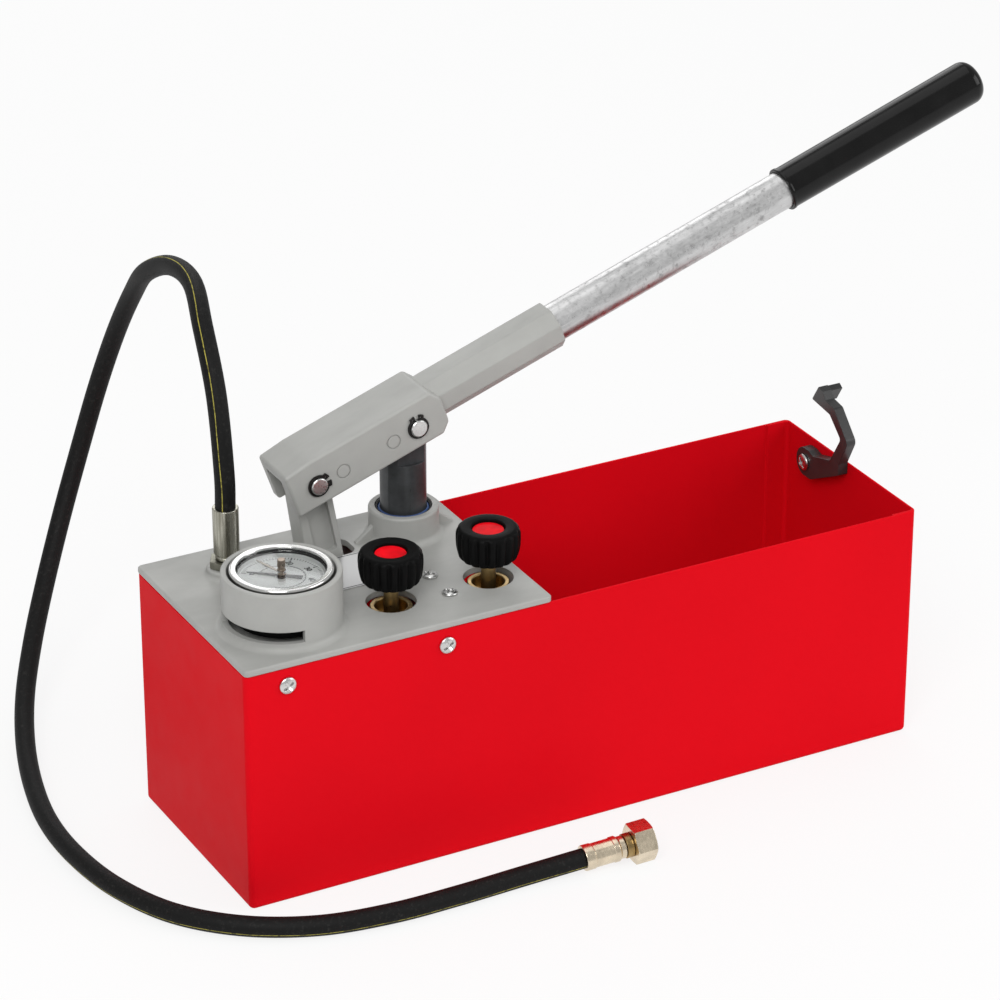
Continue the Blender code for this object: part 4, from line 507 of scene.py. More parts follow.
def tube(inner, outer, low, high, steps=ROUND):
    return turned(((outer, high), (outer, low), (inner, low), (inner, high)), steps)


def laid(shape, axis):
    """Stand a shape's Z along X or Y; its outline then lies in YZ or XZ."""
    for vertex in shape.verts:
        x, y, z = vertex.co
        vertex.co = (z, x, y) if axis == "X" else (x, z, y)
    return faced_out(shape)


def moved(shape, x=0.0, y=0.0, z=0.0):
    bmesh.ops.translate(shape, verts=shape.verts, vec=(x, y, z))
    return shape


def spun(shape, angle):
    """The same shape turned about Z."""
    turn = Euler((0, 0, angle)).to_matrix()
    bmesh.ops.rotate(shape, verts=shape.verts, cent=(0, 0, 0), matrix=turn)
    return shape


def softened(shape, radius, keep=None, steps=3):
    """Round the edges for which keep is true, or all of them."""
    edges = [edge for edge in shape.edges if keep is None or keep(edge)]
    bmesh.ops.bevel(shape, geom=edges, offset=radius, segments=steps, profile=0.5,
                    affect="EDGES", clamp_overlap=True)
    return shape


def merged(*shapes):
    """One mesh that holds several separate shapes."""
    whole = bmesh.new()
    for shape in shapes:
        mesh = bpy.data.meshes.new("part_of_shape")
        shape.to_mesh(mesh)
        shape.free()
        whole.from_mesh(mesh)
        bpy.data.meshes.remove(mesh)
    return whole


def held(name, shape):
    """Object in the scene that holds a shape while it is worked on."""
    mesh = bpy.data.meshes.new(name)
    shape.to_mesh(mesh)
    shape.free()
    made = bpy.data.objects.new(name, mesh)
    bpy.context.scene.collection.objects.link(made)
    return made


def dropped(*objects):
    """Remove working objects and their meshes."""
    for made in objects:
        mesh = made.data
        bpy.data.objects.remove(made)
        bpy.data.meshes.remove(mesh)


def evaluated(made):
    """Plain mesh of an object with its modifiers worked in."""
    bpy.context.view_layer.update()
    graph = bpy.context.evaluated_depsgraph_get()
    return bpy.data.meshes.new_from_object(made.evaluated_get(graph))


def worked(shape, *steps):
    """Shape after Booleans, each an operation and the shape of its tool."""
    target = held("work", shape)
    tools = []
    for operation, tool_shape in steps:
        tool = held("tool", tool_shape)
        tools.append(tool)
        step = target.modifiers.new("step", "BOOLEAN")
        step.operation = operation
        step.object = tool
        step.solver = "EXACT"
    mesh = evaluated(target)
    result = bmesh.new()
    result.from_mesh(mesh)
    bpy.data.meshes.remove(mesh)
    dropped(target, *tools)
    return result


def at(place, turn=(0, 0, 0)):
    """Matrix of a place and a turn."""
    return Matrix.Translation(place) @ Euler(turn).to_matrix().to_4x4()


ON_DECK = at((TANK_LOW.x, TANK_LOW.y, DECK))
ON_PUMP = at(PUMP)
ALONG_LEVER = at(LEVER_PIN, (0, -math.atan2(LEVER_PIN.z - ROCKER_PIN.z, LEVER_PIN.x - ROCKER_PIN.x), 0))
ALONG_ROCKER = at(ROCKER_PIN, (0, -math.atan2(PIVOT_PIN.x - ROCKER_PIN.x, ROCKER_PIN.z - PIVOT_PIN.z), 0))
ON_GAUGE = at(GAUGE)
ON_LATCH = at(LATCH)
PIN_SPACING = (LEVER_PIN - ROCKER_PIN).length
ROCKER_LENGTH = (ROCKER_PIN - PIVOT_PIN).length


def finished(name, mesh, slot, body, nodes=(), bevel=0.0, look=None, even=True):
    """Object of a finished mesh that rides on its body and stands for its nodes."""
    mesh.name = name
    mesh.materials.clear()
    mesh.materials.append(look or finish(slot))
    mesh.shade_smooth()
    mesh.set_sharp_from_angle(angle=SHARP_ANGLE)
    made = bpy.data.objects.new(name, mesh)
    bpy.context.scene.collection.objects.link(made)
    if bevel:
        edge = made.modifiers.new("edges", "BEVEL")
        edge.width = bevel
        edge.segments = 2
        edge.limit_method = "ANGLE"
        edge.angle_limit = SHARP_ANGLE
    if even:
        shade = made.modifiers.new("shading", "WEIGHTED_NORMAL")
        shade.keep_sharp = True
    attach(made, body)
    if nodes:
        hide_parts(*nodes)
    return made


def piece(name, shape, slot, body, place=None, nodes=(), **finishing):
    """Object of a shape at its place, which stands for the nodes that are given."""
    mesh = bpy.data.meshes.new(name)
    shape.to_mesh(mesh)
    shape.free()
    if place is not None:
        mesh.transform(place)
    return finished(name, mesh, slot, body, nodes, **finishing)


def add_node(tree, kind, inputs=None, **settings):
    """Node with its settings, its constants and its links from other nodes' sockets."""
    made = tree.nodes.new(kind)
    for name, value in settings.items():
        setattr(made, name, value)
    for name, value in (inputs or {}).items():
        if isinstance(value, bpy.types.NodeSocket):
            tree.links.new(value, made.inputs[name])
        else:
            made.inputs[name].default_value = value
    return made


def calc(tree, operation, *values):
    """What a Math node makes of its values."""
    return add_node(tree, "ShaderNodeMath", dict(enumerate(values)), operation=operation).outputs[0]


def blank(name, colour, roughness, metallic=0.0, **sockets):
    """Material with its shader's constants set, its tree and its shader."""
    made = bpy.data.materials.new(name)
    made.use_nodes = True
    tree = made.node_tree
    shader = tree.nodes["Principled BSDF"]
    shader.inputs["Base Color"].default_value = (*colour, 1)
    shader.inputs["Roughness"].default_value = roughness
    shader.inputs["Metallic"].default_value = metallic
    for socket, value in sockets.items():
        shader.inputs[socket.replace("_", " ")].default_value = value
    made.diffuse_color = (*colour, 1)
    return made, tree, shader


def object_points(tree, stretch=(1, 1, 1), turn=(0, 0, 0)):
    """Object coordinates, turned and stretched."""
    points = add_node(tree, "ShaderNodeTexCoord")
    mapping = add_node(tree, "ShaderNodeMapping", {"Vector": points.outputs["Object"]})
    mapping.inputs["Scale"].default_value = stretch
    mapping.inputs["Rotation"].default_value = turn
    return mapping.outputs["Vector"]


def noise(tree, vector, scale, detail=3.0, rough=0.5):
    """Noise's grey output."""
    return add_node(tree, "ShaderNodeTexNoise", {
        "Vector": vector, "Scale": scale, "Detail": detail, "Roughness": rough}).outputs["Fac"]


def between(tree, value, low, high, out_low, out_high):
    """Value moved from one range to another and held inside it."""
    return add_node(tree, "ShaderNodeMapRange", {
        "Value": value, "From Min": low, "From Max": high, "To Min": out_low,
        "To Max": out_high}).outputs["Result"]


def mixed(tree, share, first, second):
    """Colour between two others."""
    mix = add_node(tree, "ShaderNodeMix", data_type="RGBA")
    for socket, value in ((mix.inputs[0], share), (mix.inputs[6], first), (mix.inputs[7], second)):
        if isinstance(value, bpy.types.NodeSocket):
            tree.links.new(value, socket)
        else:
            socket.default_value = value
    return mix.outputs[2]


def toned(colour, factor):
    """Colour made lighter or darker, with its alpha."""
    return (*[min(channel * factor, 1.0) for channel in colour], 1)


def coloured(tree, shader, colour):
    tree.links.new(colour, shader.inputs["Base Color"])


def shaded(tree, shader, colour, value, low, high, dark, light):
    """Base colour that runs from darker to lighter over a value's range."""
    share = between(tree, value, low, high, 0, 1)
    coloured(tree, shader, mixed(tree, share, toned(colour, dark), toned(colour, light)))


def polished(tree, shader, value, low, high, first, last):
    """Roughness that runs from first to last over a value's range."""
    tree.links.new(between(tree, value, low, high, first, last), shader.inputs["Roughness"])


def bumped(tree, shader, height, strength, distance, edge=0.0):
    """Bump on a shader, over edges that look slightly rounded."""
    bump = add_node(tree, "ShaderNodeBump", {"Height": height, "Strength": strength, "Distance": distance})
    if edge:
        bevel = add_node(tree, "ShaderNodeBevel", {"Radius": edge}, samples=6)
        tree.links.new(bevel.outputs["Normal"], bump.inputs["Normal"])
    tree.links.new(bump.outputs["Normal"], shader.inputs["Normal"])


def sheet_paint(name, colour):
    """Smooth stoved paint on sheet, with a faint skin and slightly uneven gloss."""
    made, tree, shader = blank(name, colour, 0.38, Specular_IOR_Level=0.02)
    points = object_points(tree)
    shaded(tree, shader, colour, noise(tree, points, 5.0, 2.0), 0.3, 0.7, 0.95, 1.04)
    polished(tree, shader, noise(tree, points, 60.0), 0.3, 0.7, 0.33, 0.42)
    bumped(tree, shader, noise(tree, points, 700.0, 2.0), 0.10, 0.0002)
    return made


def cast_paint(name, colour):
    """Satin paint over a pressure casting: fine grain, soft edges and faint flow marks."""
    made, tree, shader = blank(name, colour, 0.44, Specular_IOR_Level=0.30)
    grain = noise(tree, object_points(tree), 1500.0, 3.0, 0.6)
    broad = noise(tree, object_points(tree, (1, 2, 1)), 22.0, 4.0, 0.6)
    shaded(tree, shader, colour, broad, 0.3, 0.7, 0.93, 1.05)
    polished(tree, shader, broad, 0.3, 0.7, 0.48, 0.38)
    bumped(tree, shader, grain, 0.16, 0.0003, 0.0007)
    return made


def worked_metal(name, colour, roughness, stretch=(1, 1, 1), scale=300.0, uneven=0.10, edge=0.0004, bare=1.0):
    """Turned or drawn metal with fine marks along one direction and slight stains."""
    made, tree, shader = blank(name, colour, roughness, bare)
    marks = noise(tree, object_points(tree, stretch), scale, 3.0, 0.6)
    stain = noise(tree, object_points(tree), 90.0, 3.0, 0.6)
    shaded(tree, shader, colour, stain, 0.3, 0.7, 1 - uneven, 1 + uneven)
    polished(tree, shader, marks, 0.25, 0.75, roughness * 0.75, roughness * 1.35)
    bumped(tree, shader, marks, 0.12, 0.0002, edge)
    return made


def zinc_tube_metal(name, colour):
    """Drawn tube under zinc: long draw lines, darker streaks and a mottled bloom."""
    made, tree, shader = blank(name, colour, 0.30, 1.0)
    turn = (0, ALONG_LEVER.to_euler().y, 0)
    along = add_node(tree, "ShaderNodeTexCoord")
    straight = add_node(tree, "ShaderNodeMapping", {"Vector": along.outputs["Object"]}, vector_type="TEXTURE")
    straight.inputs["Rotation"].default_value = turn
    drawn = add_node(tree, "ShaderNodeMapping", {"Vector": straight.outputs["Vector"]})
    drawn.inputs["Scale"].default_value = (0.12, 1, 1)
    streaks = noise(tree, drawn.outputs["Vector"], 260.0, 4.0, 0.65)
    bloom = noise(tree, straight.outputs["Vector"], 230.0, 5.0, 0.7)
    patches = noise(tree, straight.outputs["Vector"], 45.0, 3.0, 0.6)
    base = mixed(tree, between(tree, streaks, 0.35, 0.65, 0, 1), toned(colour, 0.80), toned(colour, 1.10))
    spots = mixed(tree, between(tree, bloom, 0.53, 0.66, 0, 0.70), base, toned(colour, 0.44))
    coloured(tree, shader, mixed(tree, between(tree, patches, 0.45, 0.65, 0, 0.35), spots, toned(colour, 1.25)))
    polished(tree, shader, bloom, 0.35, 0.7, 0.26, 0.50)
    bumped(tree, shader, bloom, 0.15, 0.0002)
    return made


def streaked_metal(name):
    """Plated sleeve with dark and light streaks along it and fine marks between them."""
    made, tree, shader = blank(name, (0.40, 0.39, 0.32), 0.26, 1.0)
    streaks = noise(tree, object_points(tree, (1, 1, 0.03)), 170.0, 4.0, 0.62)
    fine = noise(tree, object_points(tree, (1, 1, 0.10)), 900.0, 2.0, 0.6)
    broad = mixed(tree, between(tree, streaks, 0.40, 0.60, 0, 1), (0.13, 0.12, 0.085, 1), (0.55, 0.54, 0.47, 1))
    coloured(tree, shader, mixed(tree, between(tree, fine, 0.50, 0.72, 0, 0.35), broad, (0.20, 0.185, 0.14, 1)))
    polished(tree, shader, fine, 0.3, 0.7, 0.20, 0.36)
    bumped(tree, shader, fine, 0.10, 0.0002, 0.0004)
    return made


def moulding(name, colour, roughness, edge=0.0005, grain=0.06, gloss=0.16):
    """Moulded plastic with a fine skin."""
    made, tree, shader = blank(name, colour, roughness, Specular_IOR_Level=gloss)
    points = object_points(tree)
    worn = noise(tree, points, 70.0, 3.0)
    shaded(tree, shader, colour, worn, 0.35, 0.7, 0.9, 1.35)
    polished(tree, shader, worn, 0.3, 0.7, roughness * 0.9, roughness * 1.15)
    bumped(tree, shader, noise(tree, points, 900.0, 2.0), grain, 0.0002, edge)
    return made


def hose_rubber(name, line_colour):
    """Cloth-marked black rubber with one thin line along the hose, placed by the hose's own map."""
    dark = (0.006, 0.006, 0.006)
    made, tree, shader = blank(name, dark, 0.60, Specular_IOR_Level=0.14)
    spot = add_node(tree, "ShaderNodeUVMap", uv_map="hose")
    parts = add_node(tree, "ShaderNodeSeparateXYZ", {"Vector": spot.outputs["UV"]})
    points = object_points(tree)
    wander = between(tree, noise(tree, points, 14.0, 2.0), 0.3, 0.7, -0.012, 0.012)
    off = calc(tree, "SUBTRACT", calc(tree, "ADD", parts.outputs["Y"], wander), HOSE_LINE_AT)
    line = between(tree, calc(tree, "ABSOLUTE", off), 0.005, 0.009, 1, 0)
    faded = between(tree, noise(tree, points, 260.0, 4.0, 0.7), 0.38, 0.52, 0.25, 0.95)
    dust = between(tree, noise(tree, points, 380.0, 5.0, 0.7), 0.54, 0.76, 0, 0.40)
    dusty = mixed(tree, dust, toned(dark, 1), (0.050, 0.048, 0.045, 1))
    coloured(tree, shader, mixed(tree, calc(tree, "MULTIPLY", line, faded), dusty, (*line_colour, 1)))
    cloth = add_node(tree, "ShaderNodeMapping", {"Vector": spot.outputs["UV"]})
    cloth.inputs["Scale"].default_value = (900, 34, 1)
    weave = noise(tree, cloth.outputs["Vector"], 1.0, 2.0)
    bumped(tree, shader, weave, 0.35, 0.0004)
    return made


def dial_print(name):
    """White dial card with the faintest tint."""
    made, tree, shader = blank(name, (0.55, 0.55, 0.54), 0.55, Specular_IOR_Level=0.1)
    speck = noise(tree, object_points(tree), 120.0)
    share = between(tree, speck, 0.3, 0.7, 0, 1)
    coloured(tree, shader, mixed(tree, share, (0.53, 0.53, 0.52, 1), (0.58, 0.58, 0.57, 1)))
    return made


def window_glass(name):
    """Clear window of the gauge."""
    made, tree, shader = blank(name, (0.96, 0.98, 0.98), 0.02, Transmission_Weight=1.0, IOR=1.25)
    smear = noise(tree, object_points(tree), 55.0, 3.0)
    polished(tree, shader, smear, 0.4, 0.75, 0.01, 0.06)
    return made


def finish(slot):
    """Finish of one of the record's slots, made once and named apart from the frame's plain ones."""
    name = f"{slot}_finish"
    if name in bpy.data.materials:
        return bpy.data.materials[name]
    looks = bpy.context.scene.pump_looks
    makers = {
        "red_paint": lambda: sheet_paint(name, looks.red),
        "grey_paint": lambda: cast_paint(name, looks.grey),
        "dark_steel": lambda: worked_metal(name, looks.plunger, 0.36, (14, 14, 1), 60.0, 0.25, bare=0.4),
        "zinc_steel": lambda: worked_metal(name, (0.62, 0.62, 0.61), 0.28, (1, 1, 1), 400.0, 0.12),
        "stainless": lambda: worked_metal(name, (0.66, 0.66, 0.65), 0.14, (1, 1, 6), 120.0, 0.04),
        "aluminium": lambda: worked_metal(name, (0.58, 0.58, 0.57), 0.42, (1, 1, 1), 500.0, 0.10),
        "brass": lambda: worked_metal(name, (0.36, 0.25, 0.11), 0.32, (1, 1, 8), 200.0, 0.20),
        "nickel": lambda: worked_metal(name, (0.72, 0.62, 0.47), 0.26, (6, 6, 1), 120.0, 0.15),
        "spring_steel": lambda: worked_metal(name, (0.035, 0.034, 0.033), 0.38, (1, 1, 1), 500.0, 0.20),
        "black_plastic": lambda: moulding(name, looks.knob, 0.38, gloss=0.04),
        "gloss_black": lambda: moulding(name, (0.004, 0.004, 0.004), 0.16, 0.0006, 0.02, 0.22),
        "red_plastic": lambda: moulding(name, looks.red, 0.30, 0.0002, gloss=0.03),
        "black_rubber": lambda: moulding(name, (0.014, 0.014, 0.014), 0.55, 0.0003),
        "blue_seal": lambda: moulding(name, (0.05, 0.09, 0.22), 0.40, 0.0003),
        "dial_white": lambda: dial_print(name),
        "clear_glass": lambda: window_glass(name),
    }
    return makers[slot]()


def nodes_tree(name, inputs):
    """Geometry tree with named inputs, its input node and its output node."""
    tree = bpy.data.node_groups.new(name, "GeometryNodeTree")
    tree.interface.new_socket("Geometry", in_out="INPUT", socket_type="NodeSocketGeometry")
    for label, kind in inputs:
        tree.interface.new_socket(label, in_out="INPUT", socket_type=f"NodeSocket{kind}")
    tree.interface.new_socket("Geometry", in_out="OUTPUT", socket_type="NodeSocketGeometry")
    return tree, tree.nodes.new("NodeGroupInput"), tree.nodes.new("NodeGroupOutput")


def grown(shape, tree, values):
    """Plain mesh that a geometry tree makes from a shape."""
    carrier = held("carrier", shape)
    step = carrier.modifiers.new("nodes", "NODES")
    step.node_group = tree
    names = {item.name: item.identifier for item in tree.interface.items_tree if item.in_out == "INPUT"}
    for label, value in values.items():
        step[names[label]] = value
    mesh = evaluated(carrier)
    dropped(carrier)
    return mesh


def closed_tree(tree, end, geometry, start):
    """End a tree with real geometry in its material."""
    real = add_node(tree, "GeometryNodeRealizeInstances", {"Geometry": geometry})
    surface = add_node(tree, "GeometryNodeSetMaterial", {
        "Geometry": real.outputs["Geometry"], "Material": start.outputs["Material"]})
    tree.links.new(surface.outputs["Geometry"], end.inputs["Geometry"])


def spread_tree():
    """Tree that puts a piece at each point of a mesh, with its Z along the point's aim."""
    tree, start, end = nodes_tree("spread_pieces", (("Piece", "Object"), ("Material", "Material")))
    points = add_node(tree, "GeometryNodeMeshToPoints", {"Mesh": start.outputs["Geometry"]})
    aim = add_node(tree, "GeometryNodeInputNamedAttribute", {"Name": "aim"}, data_type="FLOAT_VECTOR")
    turn = add_node(tree, "FunctionNodeAlignRotationToVector", {"Vector": aim.outputs["Attribute"]}, axis="Z")
    source = add_node(tree, "GeometryNodeObjectInfo", {"Object": start.outputs["Piece"]})
    copies = add_node(tree, "GeometryNodeInstanceOnPoints", {
        "Points": points.outputs["Points"], "Instance": source.outputs["Geometry"],
        "Rotation": turn.outputs["Rotation"]})
    closed_tree(tree, end, copies.outputs["Instances"], start)
    return tree


def spread(master, places, slot):
    """Copies of a shape at (place, aim) pairs, as one mesh."""
    points = bmesh.new()
    aims = points.verts.layers.float_vector.new("aim")
    for place, aim in places:
        points.verts.new(place)[aims] = Vector(aim)
    original = held("master", master)
    tree = bpy.data.node_groups.get("spread_pieces") or spread_tree()
    mesh = grown(points, tree, {"Piece": original, "Material": finish(slot)})
    dropped(original)
    return mesh


def marks_tree():
    """Tree of flat marks along a round scale, from its start clockwise over its sweep."""
    tree, start, end = nodes_tree("scale_marks", (
        ("Count", "Int"), ("Radius", "Float"), ("Length", "Float"), ("Width", "Float"),
        ("Thickness", "Float"), ("Start", "Float"), ("Sweep", "Float"), ("Material", "Material")))
    line = add_node(tree, "GeometryNodeMeshLine", {"Count": start.outputs["Count"]})
    index = add_node(tree, "GeometryNodeInputIndex")
    share = calc(tree, "DIVIDE", index.outputs[0], calc(tree, "SUBTRACT", start.outputs["Count"], 1.0))
    run = calc(tree, "MULTIPLY", share, start.outputs["Sweep"])
    turn = calc(tree, "SUBTRACT", start.outputs["Start"], run)
    toward = add_node(tree, "ShaderNodeCombineXYZ", {
        "X": calc(tree, "COSINE", turn), "Y": calc(tree, "SINE", turn)})
    place = add_node(tree, "ShaderNodeVectorMath", {0: toward.outputs[0]}, operation="SCALE")
    tree.links.new(start.outputs["Radius"], place.inputs["Scale"])
    spots = add_node(tree, "GeometryNodeSetPosition", {
        "Geometry": line.outputs["Mesh"], "Position": place.outputs[0]})
    size = add_node(tree, "ShaderNodeCombineXYZ", {
        "X": start.outputs["Length"], "Y": start.outputs["Width"], "Z": start.outputs["Thickness"]})
    mark = add_node(tree, "GeometryNodeMeshCube", {"Size": size.outputs[0]})
    facing = add_node(tree, "ShaderNodeCombineXYZ", {"Z": turn})
    copies = add_node(tree, "GeometryNodeInstanceOnPoints", {
        "Points": spots.outputs["Geometry"], "Instance": mark.outputs["Mesh"], "Rotation": facing.outputs[0]})
    closed_tree(tree, end, copies.outputs["Instances"], start)
    return tree


def marks(count, radius, length, width):
    """Mesh of a dial's marks at the dial's centre."""
    tree = bpy.data.node_groups.get("scale_marks") or marks_tree()
    return grown(bmesh.new(), tree, {
        "Count": count, "Radius": radius, "Length": length, "Width": width, "Thickness": PRINT_THICKNESS,
        "Start": ZERO_MARK, "Sweep": DIAL_SWEEP, "Material": finish("black_plastic")})


def ribs_tree():
    """Tree that presses grooves into a turned shape, as deep at each point as its depth says."""
    tree, start, end = nodes_tree("pressed_ribs", (
        ("Ribs", "Int"), ("Depth", "Float"), ("Rib Share", "Float"), ("Material", "Material")))
    place = add_node(tree, "GeometryNodeInputPosition")
    parts = add_node(tree, "ShaderNodeSeparateXYZ", {"Vector": place.outputs[0]})
    turn = calc(tree, "ARCTAN2", parts.outputs["Y"], parts.outputs["X"])
    count = calc(tree, "MULTIPLY", calc(tree, "DIVIDE", turn, math.tau), start.outputs["Ribs"])
    from_groove = calc(tree, "MULTIPLY", calc(tree, "PINGPONG", count, 0.5), 2.0)
    groove = add_node(tree, "ShaderNodeMapRange", {
        "Value": from_groove, "From Min": 0.0, "From Max": start.outputs["Rib Share"],
        "To Min": 1.0, "To Max": 0.0}, interpolation_type="SMOOTHSTEP")
    depth = add_node(tree, "GeometryNodeInputNamedAttribute", {"Name": "depth"}, data_type="FLOAT")
    pressed = calc(tree, "MULTIPLY", groove.outputs["Result"], depth.outputs["Attribute"])
    inward = calc(tree, "MULTIPLY", calc(tree, "MULTIPLY", pressed, start.outputs["Depth"]), -1.0)
    level = add_node(tree, "ShaderNodeCombineXYZ", {"X": parts.outputs["X"], "Y": parts.outputs["Y"]})
    outward = add_node(tree, "ShaderNodeVectorMath", {0: level.outputs[0]}, operation="NORMALIZE")
    offset = add_node(tree, "ShaderNodeVectorMath", {0: outward.outputs[0]}, operation="SCALE")
    tree.links.new(inward, offset.inputs["Scale"])
    moved_points = add_node(tree, "GeometryNodeSetPosition", {
        "Geometry": start.outputs["Geometry"], "Offset": offset.outputs[0]})
    closed_tree(tree, end, moved_points.outputs["Geometry"], start)
    return tree


def ribbed(profile, share_at, ribs, depth, rib_share, slot, steps=ROUND):
    """Turned mesh with grooves, as deep at each point as its share of their depth says."""
    shape = turned(profile, steps)
    layer = shape.verts.layers.float.new("depth")
    for vertex in shape.verts:
        vertex[layer] = share_at(vertex.co)
    tree = bpy.data.node_groups.get("pressed_ribs") or ribs_tree()
    return grown(shape, tree, {"Ribs": ribs, "Depth": depth, "Rib Share": rib_share, "Material": finish(slot)})


def dressed(*names):
    """Give CAD pieces that stay as they are their finish."""
    slots = {part["node"]: part["material_slot"] for part in frame["record"]["subparts"]}
    for name in names:
        made = frame["nodes"][name]
        made.data.materials.clear()
        made.data.materials.append(finish(slots[name]))


def tank_shape():
    """Tank folded from sheet, with its lapped seams."""
    left, front, _ = TANK_LOW
    right, back, rim = TANK_HIGH
    outer = prism(rectangle(left, right, front, back, TANK_CORNER), 0, rim)
    softened(outer, TANK_FOLD, lambda edge: all(abs(v.co.z) < WELD for v in edge.verts), TANK_FOLD_STEPS)
    inner_x = right - SHEET
    inner_y = back - SHEET
    lapped_y = inner_y - SHEET
    seam_x = inner_x - SEAM_WIDTH
    corners = []
    for side_x, side_y in ((1, 1), (-1, 1), (-1, -1), (1, -1)):
        steps = [(side_x * inner_x, side_y * lapped_y, TANK_CORNER - SHEET),
                 (side_x * seam_x, side_y * lapped_y, 0),
                 (side_x * seam_x, side_y * inner_y, 0)]
        corners += steps if side_x * side_y > 0 else steps[::-1]
    room = prism(rounded(corners), SHEET, rim + OVERRUN)
    return worked(outer, ("DIFFERENCE", room))


class PUMP_OT_tank(bpy.types.Operator):
    """Make the tank"""

    bl_idname = "test_pump.tank"
    bl_label = "Tank"

    def execute(self, context):
        piece("tank_sheet", tank_shape(), "red_paint", "pump_body", nodes=["tank"], bevel=TANK_BEVEL)
        return {"FINISHED"}


def boss_shape(radius, height, edge, fillet, foot):
    """Round boss with a rounded top edge and a fillet down to the cover, solid to its foot."""
    top = arc((radius - edge, height - edge), edge, math.pi / 2, 0, 5)
    flare = arc((radius + fillet, fillet), fillet, math.pi, math.pi * 1.5)
    return turned([(0, height), *top, *flare, (radius + fillet, foot), (0, foot)])


def guard_shape():
    """Ring round the gauge with a rounded rim and a fillet down to the cover."""
    inner = GUARD_RADIUS - GUARD_WALL
    rim = arc((inner + GUARD_EDGE, GUARD_HEIGHT - GUARD_EDGE), GUARD_EDGE, math.pi, math.pi / 2, 4)
    rim += arc((GUARD_RADIUS - GUARD_EDGE, GUARD_HEIGHT - GUARD_EDGE), GUARD_EDGE, math.pi / 2, 0, 4)
    flare = arc((GUARD_RADIUS + GUARD_FILLET, GUARD_FILLET), GUARD_FILLET, math.pi, math.pi * 1.5)
    foot = -PLATE / 2
    return turned([*rim, *flare, (GUARD_RADIUS + GUARD_FILLET, foot), (inner, foot)], ROUND)


def rib_shape(angle):
    """Sloping rib from the pump boss to the cover, with a rounded ridge."""
    inner = BOSS_RADIUS - RIB_THICKNESS / 2
    tip = BOSS_RADIUS + RIB_REACH
    outline = ((inner, RIB_HEIGHT), (inner, -PLATE / 2), (tip, -PLATE / 2), (tip, PLATE / 4))
    rib = laid(prism(outline, -RIB_THICKNESS / 2, RIB_THICKNESS / 2), "Y")
    softened(rib, RIB_THICKNESS / 3, lambda edge: all(v.co.z > 0 for v in edge.verts)
             and abs(edge.verts[0].co.y - edge.verts[1].co.y) < WELD, 4)
    return moved(spun(rib, angle), *(PUMP - ON_DECK.translation).xy)


def cover_shape():
    """Cover casting with its skirt, guard, boss, ribs and lugs, and all its openings."""
    length = COVER_HIGH.x - COVER_LOW.x
    width = COVER_HIGH.y - COVER_LOW.y
    overhang = TANK_LOW.y - COVER_LOW.y
    tank_width = TANK_HIGH.y - TANK_LOW.y
    pump = (PUMP - ON_DECK.translation).xy
    gauge = (GAUGE - ON_DECK.translation).xy
    pivot = PIVOT_PIN - ON_DECK.translation
    plate = prism(rectangle(0, length, -overhang, width - overhang, PLATE_CORNER), -PLATE, 0)
    softened(plate, PLATE_EDGE, lambda edge: all(v.co.z > -WELD for v in edge.verts), 4)
    softened(plate, PLATE_LOW_EDGE, lambda edge: all(v.co.z < WELD - PLATE for v in edge.verts), 2)
    inset = SHEET * 2 + GAP
    skirt = prism(rectangle(inset, length - inset, inset, tank_width - inset, PLATE_CORNER),
                  -PLATE - SKIRT_DEPTH, -PLATE + OVERLAP)
    wall = inset + SKIRT_WALL
    hollow = prism(rectangle(wall, length - wall, wall, tank_width - wall, PLATE_CORNER),
                   -PLATE - SKIRT_DEPTH - OVERRUN, -PLATE)
    boss = moved(boss_shape(BOSS_RADIUS, BOSS_HEIGHT, BOSS_EDGE, BOSS_FILLET, -PLATE / 2), *pump)
    lower = moved(rod(LOWER_BOSS_RADIUS, -LOWER_BOSS_DEPTH, -PLATE + OVERLAP, ROUND), *pump)
    guard = moved(guard_shape(), *gauge)
    pad = moved(boss_shape(OUTLET_PAD, OUTLET_PAD_HEIGHT, *OUTLET_PAD_EDGES, -PLATE / 2), *OUTLET)
    spacing, lug_thickness, lug_radius = LUG
    lugs = []
    for side in (-1, 1):
        near = side * spacing / 2
        far = near + side * lug_thickness
        root = -PLATE + OVERLAP
        outline = [(pivot.x + lug_radius, root), *arc((pivot.x, pivot.z), lug_radius, 0, -math.pi),
                   (pivot.x - lug_radius, root)]
        lugs.append(moved(laid(prism(outline, near, far), "Y"), 0, pump.y))
    steps = [("UNION", skirt), ("DIFFERENCE", hollow), ("UNION", lower), ("UNION", merged(guard, boss, pad))]
    steps += [("UNION", rib_shape(angle)) for angle in (0, math.pi)]
    steps += [("UNION", lug) for lug in lugs]
    steps += [("DIFFERENCE", cut) for cut in cover_cuts(gauge, pump, pivot)]
    return worked(plate, *steps)


